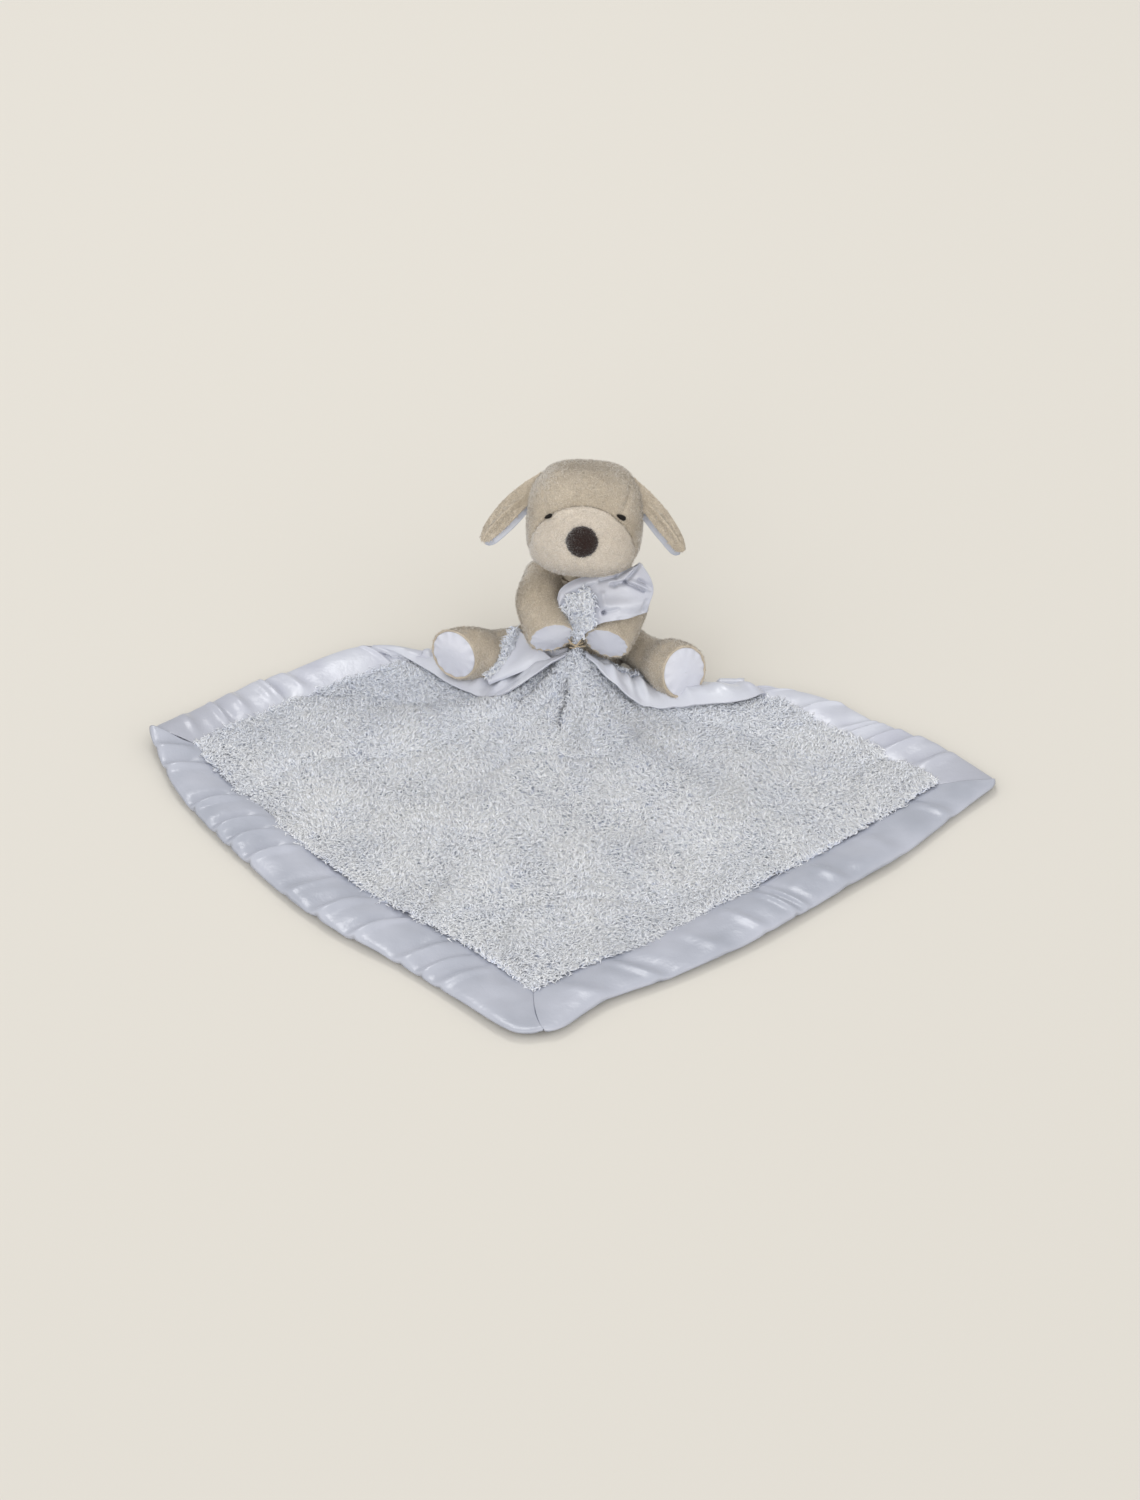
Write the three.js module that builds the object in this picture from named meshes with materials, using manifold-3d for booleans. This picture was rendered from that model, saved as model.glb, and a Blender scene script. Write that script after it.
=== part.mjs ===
// Comfort blanket lovey: a sitting plush puppy whose paws hold one gathered corner of a square blanket.
// Millimetres, +Z up. The origin is the centre of the puppy's seat on the surface it sits on.
// The puppy faces -Y and +X is at the viewer's right.
import * as THREE from 'three';
import { mergeVertices } from 'three/addons/utils/BufferGeometryUtils.js';
import Module from 'manifold-3d';

const wasm = await Module();
wasm.setup();

// Clearance between two pieces that touch, and between a ball and its cup
const touchGap = 0.3;
const ballGap = 0.4;

// Blanket
const blanketSide = 356;
const borderWidth = 34;
const panelThick = 4;
const satinThick = 2.2;
const foldHeight = 6;
const foldReach = 210;
const tentReach = 85;
const tipLift = 9;
const tipReach = 46;
const creaseDepth = 5;
const creaseWidth = 5;

// Puppy torso
const torsoHeight = 80;
const torsoHalfWidth = 27;
const torsoHalfDepth = 22;
const velourThick = 1.4;
const neckBallRadius = 13;

// Puppy head
const headHalfWidth = 34;
const headHalfHeight = 34;
const headFrontDepth = 35;
const headBackDepth = 32;
const muzzleBulge = 5;
const headLift = 32;
const headForward = 2;
const headLean = 3;
const headPitch = 20;
const headYaw = -3.5;
const headRoll = 2;
const headTurnRight = 8;
const noseRadius = 9.8;
const noseProud = 5.5;
const eyeLength = 2.9;
const eyeHeight = 1.9;
const eyeProud = 1.1;
const mouthLength = 4;
const threadRadius = 0.6;

// Ears
const earLength = 41;
const earHalfWidth = 9;
const earTipHalfWidth = 4.5;
const earVelourThick = 2.6;
const earSatinThick = 1.3;
const earArch = 3;

// Arms
const shoulderDrop = 12;
const shoulderHeight = torsoHeight - shoulderDrop;
const shoulderHalfSpan = 21;
const shoulderRadius = 10.5;
const elbowRadius = 12.5;
const pawRadius = 13.8;
const pawPadRadius = 12.2;
const pawHeight = 52;
const pawForward = 37;
const pawHalfSpan = 16.5;
const pawShift = 0.5;
const elbowSpread = 3;

// Legs
const hipHalfSpan = 27;
const hipForward = -3;
const hipHeight = 20;
const hipRadius = 13;
const waistRadius = 11.6;
const ankleRadius = 12.6;
const footRadius = 17.6;
const soleRadius = 15;
const footHeight = 26.5;
const leftSoleSide = 76;
const leftSoleForward = 20;
const rightSoleSide = 62.5;
const rightSoleForward = 37;
const leftLegLift = 25;
const rightLegLift = 15;
const padThick = 1.4;
const padCrown = 1.6;

// Tail
const tailRadius = 6;
const tailWaistRadius = 5;
const tailWag = 20;
const tailLength = 24;
const tailHeight = 15;

// Gathered corner of the blanket, held between the paws
const pinchSide = -2;
const pinchHeight = 38;
const pinchForward = 33;
const cornerReach = 45;
const cornerPlushThick = 5;
const cornerSatinThick = 3;
const cornerPuff = 2.5;
const tackLength = 12;
const tackForward = 7;
const tackDrop = 6;

// Finishes
const velour = new THREE.MeshStandardMaterial({ color: 0xc6b8a1, roughness: 0.95, metalness: 0 });
const muzzleVelour = new THREE.MeshStandardMaterial({ color: 0xd5c8b3, roughness: 0.95, metalness: 0 });
const plush = new THREE.MeshStandardMaterial({ color: 0xcdd1dd, roughness: 1, metalness: 0 });
const satin = new THREE.MeshStandardMaterial({ color: 0xcfd1de, roughness: 0.35, metalness: 0 });
const noseVelour = new THREE.MeshStandardMaterial({ color: 0x3b2723, roughness: 0.95, metalness: 0 });
const blackThread = new THREE.MeshStandardMaterial({ color: 0x15120f, roughness: 0.5, metalness: 0 });
const beigeThread = new THREE.MeshStandardMaterial({ color: 0xab9a83, roughness: 0.7, metalness: 0 });
const fibreFill = new THREE.MeshStandardMaterial({ color: 0xf0efea, roughness: 1, metalness: 0 });

const part = new THREE.Group();
const up = new THREE.Vector3(0, 0, 1);
const vec = (x, y, z) => new THREE.Vector3(x, y, z);
const smooth = (low, high, value) => THREE.MathUtils.smoothstep(value, low, high);
const mix = THREE.MathUtils.lerp;

function add(name, geometry, material, owner = part) {
  const mesh = new THREE.Mesh(geometry, material);
  mesh.name = name;
  owner.add(mesh);
  return mesh;
}

// Solids for joining and cutting
function toSolid(geometry) {
  const bare = geometry.clone();
  bare.deleteAttribute('normal');
  bare.deleteAttribute('uv');
  const merged = mergeVertices(bare, 1e-4);
  const mesh = new wasm.Mesh({
    numProp: 3,
    vertProperties: new Float32Array(merged.attributes.position.array),
    triVerts: new Uint32Array(merged.index.array),
  });
  return new wasm.Manifold(mesh);
}

function toGeometry(solid) {
  const mesh = solid.getMesh();
  const geometry = new THREE.BufferGeometry();
  geometry.setAttribute('position', new THREE.BufferAttribute(new Float32Array(mesh.vertProperties), 3));
  geometry.setIndex(Array.from(mesh.triVerts));
  geometry.computeVertexNormals();
  return geometry;
}

// Only the largest body of a cut is kept, so that no sliver is left beside it
function largest(solid) {
  const bodies = solid.decompose();
  return bodies.sort((a, b) => b.volume() - a.volume())[0];
}

function cut(geometry, ...cutters) {
  let solid = toSolid(geometry);
  for (const cutter of cutters) {
    solid = solid.subtract(toSolid(cutter));
  }
  return toGeometry(largest(solid));
}

function join(...geometries) {
  return toGeometry(geometries.map(toSolid).reduce((whole, next) => whole.add(next)));
}

// A closed body through rings of points, with a fan at each end
function ringBody(rings) {
  const sides = rings[0].length;
  const points = rings.flat();
  const index = [];
  for (let i = 0; i + 1 < rings.length; i += 1) {
    for (let j = 0; j < sides; j += 1) {
      const a = i * sides + j;
      const b = i * sides + (j + 1) % sides;
      index.push(a, b, b + sides, a, b + sides, a + sides);
    }
  }
  const middle = (ring) => ring.reduce((sum, p) => sum.add(p), vec(0, 0, 0)).divideScalar(sides);
  const first = points.push(middle(rings[0])) - 1;
  const last = points.push(middle(rings.at(-1))) - 1;
  const base = (rings.length - 1) * sides;
  for (let j = 0; j < sides; j += 1) {
    const k = (j + 1) % sides;
    index.push(first, k, j, last, base + j, base + k);
  }
  return facingOut(points, index);
}

function facingOut(points, index) {
  let volume = 0;
  for (let i = 0; i < index.length; i += 3) {
    const [a, b, c] = [points[index[i]], points[index[i + 1]], points[index[i + 2]]];
    volume += a.dot(b.clone().cross(c));
  }
  if (volume < 0) {
    for (let i = 0; i < index.length; i += 3) {
      [index[i], index[i + 1]] = [index[i + 1], index[i]];
    }
  }
  const geometry = new THREE.BufferGeometry();
  geometry.setFromPoints(points);
  geometry.setIndex(index);
  geometry.computeVertexNormals();
  return geometry;
}

// A closed slab between two surfaces over the same square of parameters
function slab(columns, rows, topAt, bottomAt) {
  const points = [];
  const index = [];
  for (const surface of [topAt, bottomAt]) {
    for (let i = 0; i <= columns; i += 1) {
      for (let j = 0; j <= rows; j += 1) {
        points.push(surface(i / columns, j / rows));
      }
    }
  }
  const count = (columns + 1) * (rows + 1);
  const at = (i, j) => i * (rows + 1) + j;
  for (let i = 0; i < columns; i += 1) {
    for (let j = 0; j < rows; j += 1) {
      const [a, b, c, d] = [at(i, j), at(i + 1, j), at(i + 1, j + 1), at(i, j + 1)];
      index.push(a, b, c, a, c, d);
      index.push(count + a, count + c, count + b, count + a, count + d, count + c);
    }
  }
  const edge = [];
  for (let i = 0; i < columns; i += 1) edge.push(at(i, 0));
  for (let j = 0; j < rows; j += 1) edge.push(at(columns, j));
  for (let i = columns; i > 0; i -= 1) edge.push(at(i, rows));
  for (let j = rows; j > 0; j -= 1) edge.push(at(0, j));
  edge.forEach((a, i) => {
    const b = edge[(i + 1) % edge.length];
    index.push(a, count + a, count + b, a, count + b, b);
  });
  return facingOut(points, index);
}

// A stuffed limb: a ball at its inner end, swelling along a path, and a flat end for its pad
const capEndShare = 0.5;
const padTurnStartShare = 0.35;

function limb(shape, grow = 0, endTrim = 0) {
  const { path, radiusAt, endNormal, sides = 12, steps = 6, capSteps = 3 } = shape;
  const rings = [];
  const ring = (centre, normal, radius) => {
    const across = vec(0, 0, 1).cross(normal).normalize();
    const over = normal.clone().cross(across);
    const points = [];
    for (let j = 0; j < sides; j += 1) {
      const turn = (2 * Math.PI * j) / sides;
      points.push(centre.clone()
        .addScaledVector(across, radius * Math.cos(turn))
        .addScaledVector(over, radius * Math.sin(turn)));
    }
    rings.push(points);
  };
  const start = path.getPointAt(0);
  const startWay = path.getTangentAt(0);
  const startRadius = radiusAt(0) + grow;
  for (let i = capSteps; i > 0; i -= 1) {
    const turn = (Math.PI / 2) * (i / (capSteps + capEndShare));
    const centre = start.clone().addScaledVector(startWay, -startRadius * Math.sin(turn));
    ring(centre, startWay, startRadius * Math.cos(turn));
  }
  for (let i = 0; i <= steps; i += 1) {
    const share = i / steps;
    const turned = smooth(padTurnStartShare, 1, share);
    const normal = path.getTangentAt(share).lerp(endNormal, turned).normalize();
    const centre = path.getPointAt(share);
    if (i === steps) centre.addScaledVector(endNormal, endTrim);
    ring(centre, normal, radiusAt(share) + grow);
  }
  return ringBody(rings);
}

// Radii along a limb, as pairs of a share of its length and a radius, joined smoothly
function radiusTable(pairs) {
  return (share) => {
    const next = Math.max(1, pairs.findIndex(([at]) => at >= share));
    const [[lowAt, low], [highAt, high]] = [pairs[next - 1], pairs[next]];
    return mix(low, high, smooth(lowAt, highAt, share));
  };
}

// A disc with a crowned face, closing the open end of a limb
function padDisc(shape, radius, thick = padThick, crown = padCrown) {
  const centre = shape.path.getPointAt(1);
  const normal = shape.endNormal;
  const profile = [];
  const crownSteps = 3;
  profile.push(new THREE.Vector2(0, -thick));
  profile.push(new THREE.Vector2(radius, -thick));
  for (let i = 0; i <= crownSteps; i += 1) {
    const share = 1 - i / crownSteps;
    profile.push(new THREE.Vector2(radius * share, crown * (1 - share * share)));
  }
  const geometry = new THREE.LatheGeometry(profile, 12);
  const turn = new THREE.Quaternion().setFromUnitVectors(vec(0, 1, 0), normal);
  geometry.applyQuaternion(turn);
  geometry.translate(centre.x, centre.y, centre.z);
  return geometry;
}

const ballWidthSteps = 18;
const ballHeightSteps = 12;

function ball(centre, radius) {
  return new THREE.SphereGeometry(radius, ballWidthSteps, ballHeightSteps)
    .translate(centre.x, centre.y, centre.z);
}

// A cup is grown until its facets clear the ball that turns in it
const facetShare = 1 / (Math.cos(Math.PI / ballWidthSteps) * Math.cos(Math.PI / (2 * ballHeightSteps)));
const cup = (centre, radius) => ball(centre, (radius + ballGap) * facetShare);

// Torso: a pear with a flat seat
const torsoShares = [[0, 0.78], [0.12, 0.98], [0.3, 1], [0.55, 0.9], [0.76, 0.74], [0.9, 0.56], [1, 0.3]];
const torsoRadius = radiusTable(torsoShares);

function torso(grow = 0, bottom = 0) {
  const rings = [];
  const steps = 9;
  const sides = 18;
  for (let i = 0; i <= steps; i += 1) {
    const share = i / steps;
    const swell = torsoRadius(share);
    const height = mix(bottom, torsoHeight + grow, share);
    const points = [];
    for (let j = 0; j < sides; j += 1) {
      const turn = (2 * Math.PI * j) / sides;
      points.push(vec(
        (torsoHalfWidth * swell + grow) * Math.cos(turn),
        (torsoHalfDepth * swell + grow) * Math.sin(turn),
        height,
      ));
    }
    rings.push(points);
  }
  return ringBody(rings);
}

// Head: a rounded box with a full muzzle, about its own centre, looking along its own -Y
const headSquareness = 2.5;
const muzzleDrop = 0.25;
const muzzleSpread = 38;
const headCentre = vec(headLean, -headForward, torsoHeight + headLift);
const headTurn = new THREE.Quaternion().setFromEuler(new THREE.Euler(
  THREE.MathUtils.degToRad(-headPitch),
  THREE.MathUtils.degToRad(headRoll),
  THREE.MathUtils.degToRad(headYaw),
  'ZYX',
));
const muzzleWay = vec(0, -1, -muzzleDrop).normalize();

function headPoint(way, grow = 0) {
  const depth = way.y < 0 ? headFrontDepth : headBackDepth;
  const sum = Math.abs(way.x / headHalfWidth) ** headSquareness
    + Math.abs(way.y / depth) ** headSquareness
    + Math.abs(way.z / headHalfHeight) ** headSquareness;
  const radius = sum ** (-1 / headSquareness);
  const off = THREE.MathUtils.radToDeg(way.angleTo(muzzleWay)) / muzzleSpread;
  return way.clone().multiplyScalar(radius + muzzleBulge * Math.exp(-off * off) + grow);
}

function headBody(grow = 0) {
  const rings = [];
  const steps = 11;
  const sides = 20;
  for (let i = 1; i < steps; i += 1) {
    const lean = (Math.PI * i) / steps;
    const points = [];
    for (let j = 0; j < sides; j += 1) {
      const turn = (2 * Math.PI * j) / sides;
      points.push(headPoint(vec(
        Math.sin(lean) * Math.cos(turn),
        -Math.cos(lean),
        Math.sin(lean) * Math.sin(turn),
      ), grow));
    }
    rings.push(points);
  }
  return ringBody(rings);
}

const headGroup = new THREE.Group();
headGroup.position.copy(headCentre);
headGroup.quaternion.copy(headTurn);
part.add(headGroup);
const toHead = (point) => point.clone().sub(headCentre).applyQuaternion(headTurn.clone().invert());

// Neck: a ball of stuffing that sits half in the torso and half in the head
const neckLift = 9;
const neckCentre = vec(headLean / 2, 0, torsoHeight - neckBallRadius + neckLift);
const neckInHead = toHead(neckCentre);

// Muzzle: the front lower panel, parted from the head along an arched seam
const muzzleCutRadius = 32;
const muzzleCutStretch = 4;
const muzzleCutTop = 17.8;
const muzzleCutSide = 15;
const muzzleCutReach = 120;
const muzzleLean = 24;

function muzzleCutter(grow) {
  const box = new THREE.BoxGeometry(muzzleCutReach, muzzleCutReach, muzzleCutReach);
  box.translate(0, -muzzleCutReach / 2 - muzzleCutSide + grow, 0);
  box.rotateX(THREE.MathUtils.degToRad(muzzleLean));
  const cap = new THREE.SphereGeometry(muzzleCutRadius + grow, 28, 18);
  cap.scale(1, muzzleCutStretch, 1);
  cap.translate(0, 0, muzzleCutTop - muzzleCutRadius);
  return toGeometry(toSolid(box).intersect(toSolid(cap)));
}

const headOuter = toSolid(headBody());
const headInner = toSolid(headBody(-velourThick));
const neckCup = toSolid(cup(neckInHead, neckBallRadius));
const headShell = headOuter.subtract(headInner).subtract(neckCup);
const headPiece = (name, solid, material) => add(name, toGeometry(largest(solid)), material, headGroup);
headPiece('head_cover', headShell.subtract(toSolid(muzzleCutter(touchGap))), velour);
headPiece('muzzle_panel', headShell.intersect(toSolid(muzzleCutter(0))), muzzleVelour);
headPiece('head_filling', toSolid(headBody(-velourThick - touchGap)).subtract(neckCup), fibreFill);

// Nose, eyes and mouth sit on the cover
const headCutter = headBody(touchGap);
const noseWay = vec(0, -1, -0.11).normalize();
const nosePlace = headPoint(noseWay);
const nose = new THREE.SphereGeometry(noseRadius, 16, 10);
nose.scale(1, noseProud / noseRadius, 1);
nose.translate(nosePlace.x, nosePlace.y, nosePlace.z);
add('nose', cut(nose, headCutter), noseVelour, headGroup);

const mouthPlace = headPoint(vec(0, -1, -0.46).normalize());
const mouth = new THREE.SphereGeometry(threadRadius + touchGap, 8, 6);
mouth.scale(1, 1, mouthLength / (2 * threadRadius));
mouth.translate(mouthPlace.x, mouthPlace.y, mouthPlace.z);
add('mouth_stitch', cut(mouth, headCutter), beigeThread, headGroup);

const eyeSide = 0.66;
const eyeRise = 0.36;
for (const [side, name] of [[-1, 'left_eye'], [1, 'right_eye']]) {
  const place = headPoint(vec(side * eyeSide, -1, eyeRise).normalize(), touchGap);
  const eye = new THREE.SphereGeometry(1, 10, 6);
  eye.scale(eyeLength, eyeProud, eyeHeight);
  eye.rotateZ(side * Math.atan(eyeSide));
  eye.translate(place.x, place.y, place.z);
  add(name, cut(eye, headCutter), blackThread, headGroup);
}

// Ears: a velour leaf with a satin lining, hanging from a line on the side of the head
const earRootTopWay = vec(0.9, 0.12, 0.7);
const earRootLowWay = vec(1, -0.1, 0.16);
const earWay = vec(0.64, -0.12, -0.7);
const earRootShare = 0.5;
const earTaperShares = [0.3, 1];
const earTipShare = 0.8;
const earEndShare = 0.35;

function earLeaf(side, low, high) {
  const flip = vec(side, 1, 1);
  const top = headPoint(earRootTopWay.clone().normalize(), earVelourThick + touchGap);
  const bottom = headPoint(earRootLowWay.clone().normalize(), earVelourThick + touchGap);
  const root = top.clone().lerp(bottom, 0.5);
  const rootHalf = top.distanceTo(bottom) / 2;
  const along = bottom.clone().sub(top).normalize();
  const way = earWay.clone().normalize();
  const out = along.clone().cross(way).normalize();
  const face = out.y < 0 ? out : out.negate();
  const across = way.clone().cross(face).normalize();
  const leafAcross = across.dot(along) < 0 ? across.negate() : across;
  const surface = (length, width, offset) => {
    const skew = smooth(0, earRootShare, length);
    const rounding = Math.max(0, (length - earTipShare) / (1 - earTipShare));
    const narrow = mix(earEndShare, 1, Math.sqrt(Math.max(0, 1 - rounding ** 2)));
    const half = mix(earHalfWidth, earTipHalfWidth, smooth(...earTaperShares, length)) * narrow;
    const point = root.clone()
      .addScaledVector(along, width * rootHalf * (1 - skew))
      .addScaledVector(leafAcross, width * half * skew)
      .addScaledVector(way, length * earLength)
      .addScaledVector(face, offset - earArch * width * width * skew);
    return point.multiply(flip);
  };
  return slab(9, 4, (s, t) => surface(s, 2 * t - 1, high), (s, t) => surface(s, 2 * t - 1, low));
}

for (const [side, name] of [[-1, 'left'], [1, 'right']]) {
  const velourLeaf = earLeaf(side, -earVelourThick / 2, earVelourThick / 2);
  const satinTop = -earVelourThick / 2 - touchGap;
  const satinLeaf = earLeaf(side, satinTop - earSatinThick, satinTop);
  add(`${name}_ear_velour`, cut(velourLeaf, headCutter), velour, headGroup);
  add(`${name}_ear_lining`, cut(satinLeaf, headBody(2 * touchGap)), satin, headGroup);
}

// Legs: splayed tubes, each with a ball in the torso's hip cup and a satin sole
const legShapes = {};
const leftSole = vec(-leftSoleSide, -leftSoleForward, footHeight);
const rightSole = vec(rightSoleSide, -rightSoleForward, footHeight);
const soleWays = { left: vec(-0.53, -0.84, 0.13), right: vec(0.57, -0.75, 0.33) };
const legBow = 2;

function legShape(side, sole, way) {
  const hip = vec(side * hipHalfSpan, -hipForward, hipHeight);
  const middle = hip.clone().lerp(sole, 0.5).addScaledVector(up, -legBow);
  return {
    path: new THREE.CatmullRomCurve3([hip, middle, sole]),
    radiusAt: radiusTable([
      [0, hipRadius],
      [0.17, waistRadius],
      [0.45, ankleRadius],
      [0.82, footRadius],
      [1, soleRadius + velourThick],
    ]),
    endNormal: way.clone().normalize(),
  };
}

legShapes.left = legShape(-1, leftSole, soleWays.left);
legShapes.right = legShape(1, rightSole, soleWays.right);

// Arms: tubes fixed to the torso, their paws meeting at the gathered corner
const armShapes = {};
const elbowHeightShare = 0.62;
const elbowForwardShare = 0.45;
const padWay = vec(0.2, -0.93, -0.3);

function armShape(side) {
  const shoulder = vec(side * shoulderHalfSpan, 0, shoulderHeight);
  const paw = vec(side * pawHalfSpan - pawShift, -pawForward, pawHeight);
  const elbow = vec(
    side * (shoulderHalfSpan + elbowSpread),
    -pawForward * elbowForwardShare,
    mix(pawHeight, shoulderHeight, elbowHeightShare),
  );
  return {
    path: new THREE.CatmullRomCurve3([shoulder, elbow, paw]),
    radiusAt: radiusTable([
      [0, shoulderRadius],
      [0.5, elbowRadius],
      [0.85, pawRadius],
      [1, pawPadRadius + velourThick],
    ]),
    endNormal: vec(-side * padWay.x, padWay.y, padWay.z).normalize(),
  };
}

armShapes.left = armShape(-1);
armShapes.right = armShape(1);

// Tail: a short stub behind the seat
const tailRootShare = 0.97;
const tailEndWay = vec(0.2, 1, 0);
const tailRoot = vec(0, torsoHalfDepth * tailRootShare, tailHeight);
const tailShape = {
  path: new THREE.CatmullRomCurve3([
    tailRoot,
    tailRoot.clone().add(vec(tailRadius / 3, tailLength / 2, -tailRadius / 2)),
    tailRoot.clone().add(vec(tailRadius, tailLength, -tailRadius / 2)),
  ]),
  radiusAt: radiusTable([[0, tailRadius], [0.3, tailWaistRadius], [0.65, tailRadius], [1, tailRadius / 2]]),
  endNormal: tailEndWay.clone().normalize(),
  sides: 12,
  steps: 5,
  capSteps: 3,
};

// Torso cover and filling, with cups for the hips, the neck and the tail
function swung(shape, axis, degrees) {
  const centre = shape.path.getPointAt(0);
  const geometry = limb(shape, ballGap, ballGap);
  geometry.translate(-centre.x, -centre.y, -centre.z);
  geometry.applyQuaternion(new THREE.Quaternion().setFromAxisAngle(axis, THREE.MathUtils.degToRad(degrees)));
  return geometry.translate(centre.x, centre.y, centre.z);
}

function liftAxis(shape) {
  const way = shape.path.getPointAt(1).sub(shape.path.getPointAt(0)).setZ(0);
  return way.cross(up).normalize();
}

const swingShares = [0, 0.5, 1];
const bodyCutters = [
  ...swingShares.map((share) => swung(legShapes.left, liftAxis(legShapes.left), share * leftLegLift)),
  ...swingShares.map((share) => swung(legShapes.right, liftAxis(legShapes.right), share * rightLegLift)),
  ...[-1, 0, 1].map((share) => swung(tailShape, up, share * tailWag)),
  cup(legShapes.left.path.getPointAt(0), hipRadius),
  cup(legShapes.right.path.getPointAt(0), hipRadius),
  cup(tailRoot, tailRadius),
  cup(neckCentre, neckBallRadius),
];
let coverSolid = toSolid(torso()).subtract(toSolid(torso(-velourThick, velourThick)));
let fillSolid = toSolid(torso(-velourThick - touchGap, velourThick + touchGap));
for (const cutter of bodyCutters) {
  const solid = toSolid(cutter);
  coverSolid = coverSolid.subtract(solid);
  fillSolid = fillSolid.subtract(solid);
}
add('torso_cover', toGeometry(largest(coverSolid)), velour);
add('torso_filling', toGeometry(largest(fillSolid)), fibreFill);
add('neck_stuffing', ball(neckCentre, neckBallRadius), fibreFill);

// Each limb is a cover open at its pad, its filling and its satin pad
function stuffedLimb(name, shape, padName, padRadius, cutters) {
  const open = limb(shape, -velourThick, velourThick);
  const padRoom = padDisc(shape, padRadius, padThick + touchGap, velourThick);
  const overPad = padDisc(shape, 2 * padRadius, padThick + touchGap, 2 * padRadius);
  let cover = toSolid(limb(shape)).subtract(toSolid(open)).subtract(toSolid(padRoom));
  let inside = toSolid(limb(shape, -velourThick - 2 * touchGap)).subtract(toSolid(overPad));
  for (const cutter of cutters) {
    cover = cover.subtract(toSolid(cutter));
    inside = inside.subtract(toSolid(cutter));
  }
  add(`${name}_cover`, toGeometry(largest(cover)), velour);
  add(`${name}_filling`, toGeometry(largest(inside)), fibreFill);
  add(padName, padDisc(shape, padRadius - touchGap), satin);
}

const torsoCutter = torso(touchGap, -touchGap);
for (const name of ['left', 'right']) {
  stuffedLimb(`${name}_arm`, armShapes[name], `${name}_paw_pad`, pawPadRadius,
    [torsoCutter, cup(neckCentre, neckBallRadius)]);
  stuffedLimb(`${name}_leg`, legShapes[name], `${name}_sole`, soleRadius, []);
}
add('tail_cover', limb(tailShape), velour);

// Blanket plan: four edges in shares of the blanket's side, the back two drawn in to the paws
const pinch = vec(pinchSide, -pinchForward, pinchHeight);
const plan = (shares) => shares.map(([x, y]) => vec(x * blanketSide, y * blanketSide, 0));
const frontTipShares = [[-0.056, -0.961]];
const leftTipShares = [[-0.727, -0.199]];
const rightTipShares = [[0.683, -0.329]];
const frontLeftShares = [
  [-0.107, -0.944], [-0.25, -0.809], [-0.427, -0.663], [-0.57, -0.483], [-0.668, -0.337],
];
const frontRightShares = [
  [0.028, -0.879], [0.185, -0.787], [0.346, -0.663], [0.48, -0.548], [0.621, -0.404],
];
const backLeftShares = [[-0.629, -0.105], [-0.5, -0.006], [-0.376, 0.05]];
const backRightShares = [[0.604, -0.225], [0.5, -0.157], [0.43, -0.1], [0.326, -0.067]];
// Ridge of each turned-over edge: share of the way to the pinch, and how far back, in shares of that way
const leftRidgeShares = [[0.2, 0.025], [0.45, 0.045], [0.66, 0.055], [0.86, 0.03]];
const rightRidgeShares = [[0.2, 0.03], [0.42, 0.05], [0.66, 0.03], [0.86, 0.01]];
// Hem of each turned-over edge: the same, and how far forward
const leftHemShares = [
  [0.13, 0.005], [0.25, 0.035], [0.49, 0.14], [0.68, 0.185], [0.8, 0.15], [0.9, 0.06],
];
const rightHemShares = [
  [0.07, 0.13], [0.18, 0.195], [0.34, 0.2], [0.54, 0.19], [0.73, 0.17], [0.85, 0.115], [0.94, 0.04],
];

function besideWay(from, shares, sign) {
  const way = pinch.clone().setZ(0).sub(from);
  const length = way.length();
  const forward = vec(way.y, -way.x, 0).divideScalar(length);
  if (forward.y > 0) forward.negate();
  return shares.map(([at, off]) => from.clone()
    .addScaledVector(way, at)
    .addScaledVector(forward, sign * off * length));
}

const smoothCurve = (points) => new THREE.CatmullRomCurve3(points, false, 'centripetal');
const [frontTip] = plan(frontTipShares);
const [leftTip] = plan(leftTipShares);
const [rightTip] = plan(rightTipShares);
const pinchPlan = pinch.clone().setZ(0);
const leftTurn = plan(backLeftShares).at(-1);
const rightTurn = plan(backRightShares).at(-1);
const leftHem = smoothCurve([leftTurn, ...besideWay(leftTurn, leftHemShares, 1), pinchPlan]);
const rightHem = smoothCurve([rightTurn, ...besideWay(rightTurn, rightHemShares, 1), pinchPlan]);
const leftRidgePoints = besideWay(leftTurn, leftRidgeShares, -1);
const rightRidgePoints = besideWay(rightTurn, rightRidgeShares, -1);
const leftRidge = smoothCurve([leftTurn, ...leftRidgePoints, pinchPlan]);
const rightRidge = smoothCurve([rightTurn, ...rightRidgePoints, pinchPlan]);
const edges = {
  frontLeft: smoothCurve([frontTip, ...plan(frontLeftShares), leftTip]),
  frontRight: smoothCurve([frontTip, ...plan(frontRightShares), rightTip]),
  backLeft: smoothCurve([leftTip, ...plan(backLeftShares), ...leftRidgePoints, pinchPlan]),
  backRight: smoothCurve([rightTip, ...plan(backRightShares), ...rightRidgePoints, pinchPlan]),
};

// Plan place of a cloth point: a runs along the front left edge, b along the front right one
function planAt(a, b) {
  const point = vec(0, 0, 0)
    .addScaledVector(edges.frontLeft.getPointAt(a), 1 - b)
    .addScaledVector(edges.backRight.getPointAt(a), b)
    .addScaledVector(edges.frontRight.getPointAt(b), 1 - a)
    .addScaledVector(edges.backLeft.getPointAt(b), a);
  point.addScaledVector(frontTip, -(1 - a) * (1 - b));
  point.addScaledVector(leftTip, -a * (1 - b));
  point.addScaledVector(rightTip, -(1 - a) * b);
  return point.addScaledVector(pinchPlan, -a * b);
}

// Height of the cloth's underside: a tent below the pinch, folds that run out from it and a lifted tip
const foldCount = 7;
const foldPhase = 0.9;
const tentPower = 3;

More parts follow.
